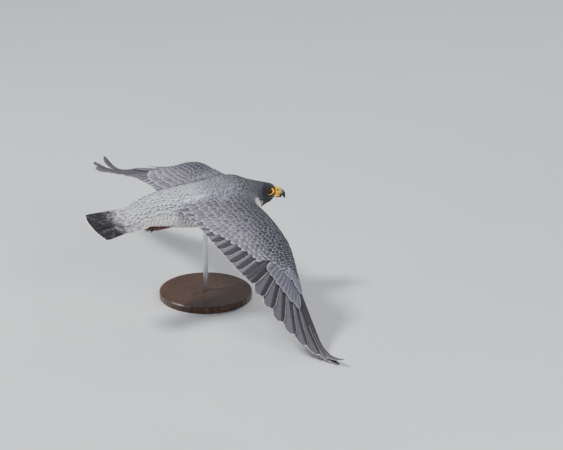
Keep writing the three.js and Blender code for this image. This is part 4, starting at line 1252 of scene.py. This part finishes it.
# Each toe's splay from straight back, in radians, and its length.
TOES = [(0.36, 14), (0.12, 20), (-0.14, 21), (-0.4, 15)]
TOES_FROM = (-150, 16, -40.0)
foot_material, n, shader = new_material("foot_skin")
scales = n.make("ShaderNodeTexVoronoi", {"feature": "DISTANCE_TO_EDGE"}, Vector=n.place(), Scale=520.0)
seam = n.ramp(scales.outputs[0], 0.0, 0.12)
# Painted shade: the scales are painted far darker than the yellow skin because the feet lie in shadow under
# the tail; the noise only varies the tone.
painted_shade_skin = n.mix(n.noise(120.0, Detail=3.0), (0.07, 0.028, 0.014), (0.035, 0.015, 0.01))
n.feed(shader, Base_Color=n.mix(seam, (0.08, 0.035, 0.014), painted_shade_skin), Normal=n.bump(0.7, 0.0004, seam))
shader.inputs["Roughness"].default_value = 0.5
claw_material, n, shader = new_material("claw")
n.feed(shader, Base_Color=n.mix(n.noise(300.0), (0.01, 0.01, 0.011), (0.03, 0.028, 0.027)))
shader.inputs["Roughness"].default_value = 0.25


def toe_rows(side, splay, stations):
    """Rows of a tube along a toe: each station is a distance from the pad, a drop and the tube's radius."""
    x, y, z = TOES_FROM
    return [
        [x - math.cos(splay) * away, side * y + math.sin(splay) * away, z - drop, *size]
        for away, drop, *size in stations
    ]


for side, word in ((1, "left"), (-1, "right")):
    points, faces = tube_faces(tube_rings(np.array(SHANK) * (1, side, 1, 1, 1, 1), 24, 20))
    shank = new_piece(f"bare_shank_{word}", in_flight(points), faces)
    shank.data.materials.append(foot_material)
    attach(shank, "root")
    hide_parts(f"shank_{word}")
    pads = [tube_faces(tube_rings(np.array(PAD) * (1, side, 1, 1, 1, 1), 16, 20))]
    claws = []
    for splay, reach in TOES:
        toe = toe_rows(side, splay, [
            (0, 0, 3, 2.8, 3), (reach * 0.6, 0, 3, 2.8, 2.8), (reach, 0.8, 2.2, 2.2, 2.2),
        ])
        claw = toe_rows(side, splay, [
            (reach - 1, 0.6, 2.0, 2.0, 2.0), (reach + 4, 2.2, 1.4, 1.4, 1.4), (reach + 7, 5.2, 0.4, 0.4, 0.4),
        ])
        pads.append(tube_faces(tube_rings(toe, 20, 12, power=2.0)))
        claws.append(tube_faces(tube_rings(claw, 12, 10, power=2.0)))
    points, faces = joined(pads)
    toes = new_piece(f"toes_{word}", in_flight(points), faces)
    toes.data.materials.append(foot_material)
    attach(toes, "root")
    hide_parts(f"foot_{word}")
    points, faces = joined(claws)
    talons = new_piece(f"claws_{word}", in_flight(points), faces)
    talons.data.materials.append(claw_material)
    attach(talons, "root")

# Stand. A turned base of dark lacquered wood and a brushed steel rod, both as the solids have them:
# only their materials are made here. The wood's grain runs along x, and the rod is brushed along its length.
base_material, n, shader = new_material("dark_wood")
planks = n.make("ShaderNodeMapping", Vector=n.place(), Scale=(14.0, 90.0, 14.0)).outputs[0]
grain = n.make("ShaderNodeTexNoise", Vector=planks, Scale=3.0, Detail=8.0, Distortion=1.2).outputs[0]
tone = n.mix(n.ramp(grain, 0.35, 0.65), (0.028, 0.014, 0.008), (0.085, 0.042, 0.022))
rough = n.maths("MULTIPLY_ADD", grain, 0.2, 0.25)
n.feed(shader, Base_Color=tone, Roughness=rough, Normal=n.bump(0.15, 0.0004, grain))
rod_material, n, shader = new_material("brushed_rod")
lines = n.make("ShaderNodeMapping", Vector=n.place(), Scale=(600.0, 600.0, 12.0)).outputs[0]
brushing = n.make("ShaderNodeTexNoise", Vector=lines, Scale=2.0, Detail=3.0).outputs[0]
tone = n.mix(brushing, (0.42, 0.42, 0.44), (0.6, 0.6, 0.62))
n.feed(shader, Base_Color=tone, Roughness=n.maths("MULTIPLY_ADD", brushing, 0.2, 0.22))
shader.inputs["Metallic"].default_value = 1.0
for node, material in (("stand_base", base_material), ("stand_rod", rod_material)):
    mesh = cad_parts[node].data
    mesh.materials.clear()
    mesh.materials.append(material)

# Studio. A plain pale floor, a pale surround and three soft lights from above.
# None of it belongs to the part: the floor is stage, and the lights are for the picture.
FLOOR_HALF = 12.0
LIGHTS_AIM = Vector((0.05, 0, 0.18))
floor_material, n, shader = new_material("floor")
n.feed(shader, Base_Color=n.mix(n.noise(4.0), (0.6, 0.61, 0.62), (0.64, 0.65, 0.66)))
shader.inputs["Roughness"].default_value = 0.8
corners = np.array([[-1, -1, 0], [1, -1, 0], [1, 1, 0], [-1, 1, 0]]) * FLOOR_HALF
floor = new_piece("floor", corners, np.array([[0, 1, 2, 3]]), smooth=False)
floor.data.materials.append(floor_material)
world = bpy.context.scene.world or bpy.data.worlds.new("studio")
bpy.context.scene.world = world
world.use_nodes = True
world.node_tree.nodes["Background"].inputs["Color"].default_value = (0.75, 0.8, 0.88, 1)
world.node_tree.nodes["Background"].inputs["Strength"].default_value = 0.4
for name, place, size, power in (
    ("key", (-1.5, 1.0, 2.6), 0.6, 108.0),
    ("fill", (0.2, -2.6, 1.4), 1.6, 64.0),
    ("rim", (2.0, 0.8, 1.6), 1.2, 16.0),
):
    light = bpy.data.lights.new(name, "AREA")
    light.size = size
    light.energy = power
    lamp = bpy.data.objects.new(name, light)
    lamp.location = place
    lamp.rotation_euler = (LIGHTS_AIM - Vector(place)).to_track_quat("-Z", "Y").to_euler()
    bpy.context.scene.collection.objects.link(lamp)

# Camera. Behind and to the right of the bird, 22 degrees above it, far off with a long lens.
# Its heading, height and scale come from fitting a symmetric bird to the outline in the photo.
HEADING = 0.607806
ELEVATION = 0.383956
MM_PER_PIXEL = 1.970648
PICTURE = (563, 450)
BIRD_MIDDLE_PIXEL = (219.49, 200.62)
LENS = 300.0
SENSOR = 36.0
right = np.array([math.cos(HEADING), -math.sin(HEADING), 0.0])
back = np.array([
    -math.sin(HEADING) * math.cos(ELEVATION), -math.cos(HEADING) * math.cos(ELEVATION), math.sin(ELEVATION),
])
above = np.cross(back, right)
distance = PICTURE[0] * MM_PER_PIXEL * LENS / SENSOR
aim = BIRD_AT + right * (PICTURE[0] / 2 - BIRD_MIDDLE_PIXEL[0]) * MM_PER_PIXEL
aim = aim - above * (PICTURE[1] / 2 - BIRD_MIDDLE_PIXEL[1]) * MM_PER_PIXEL
camera_data = bpy.data.cameras.new("camera")
camera_data.lens = LENS
camera_data.sensor_width = SENSOR
camera_data.clip_end = 60.0
camera = bpy.data.objects.new("camera", camera_data)
camera.location = (aim + back * distance) * MM
camera.rotation_euler = Vector(-back).to_track_quat("-Z", "Y").to_euler()
bpy.context.scene.collection.objects.link(camera)
bpy.context.scene.camera = camera
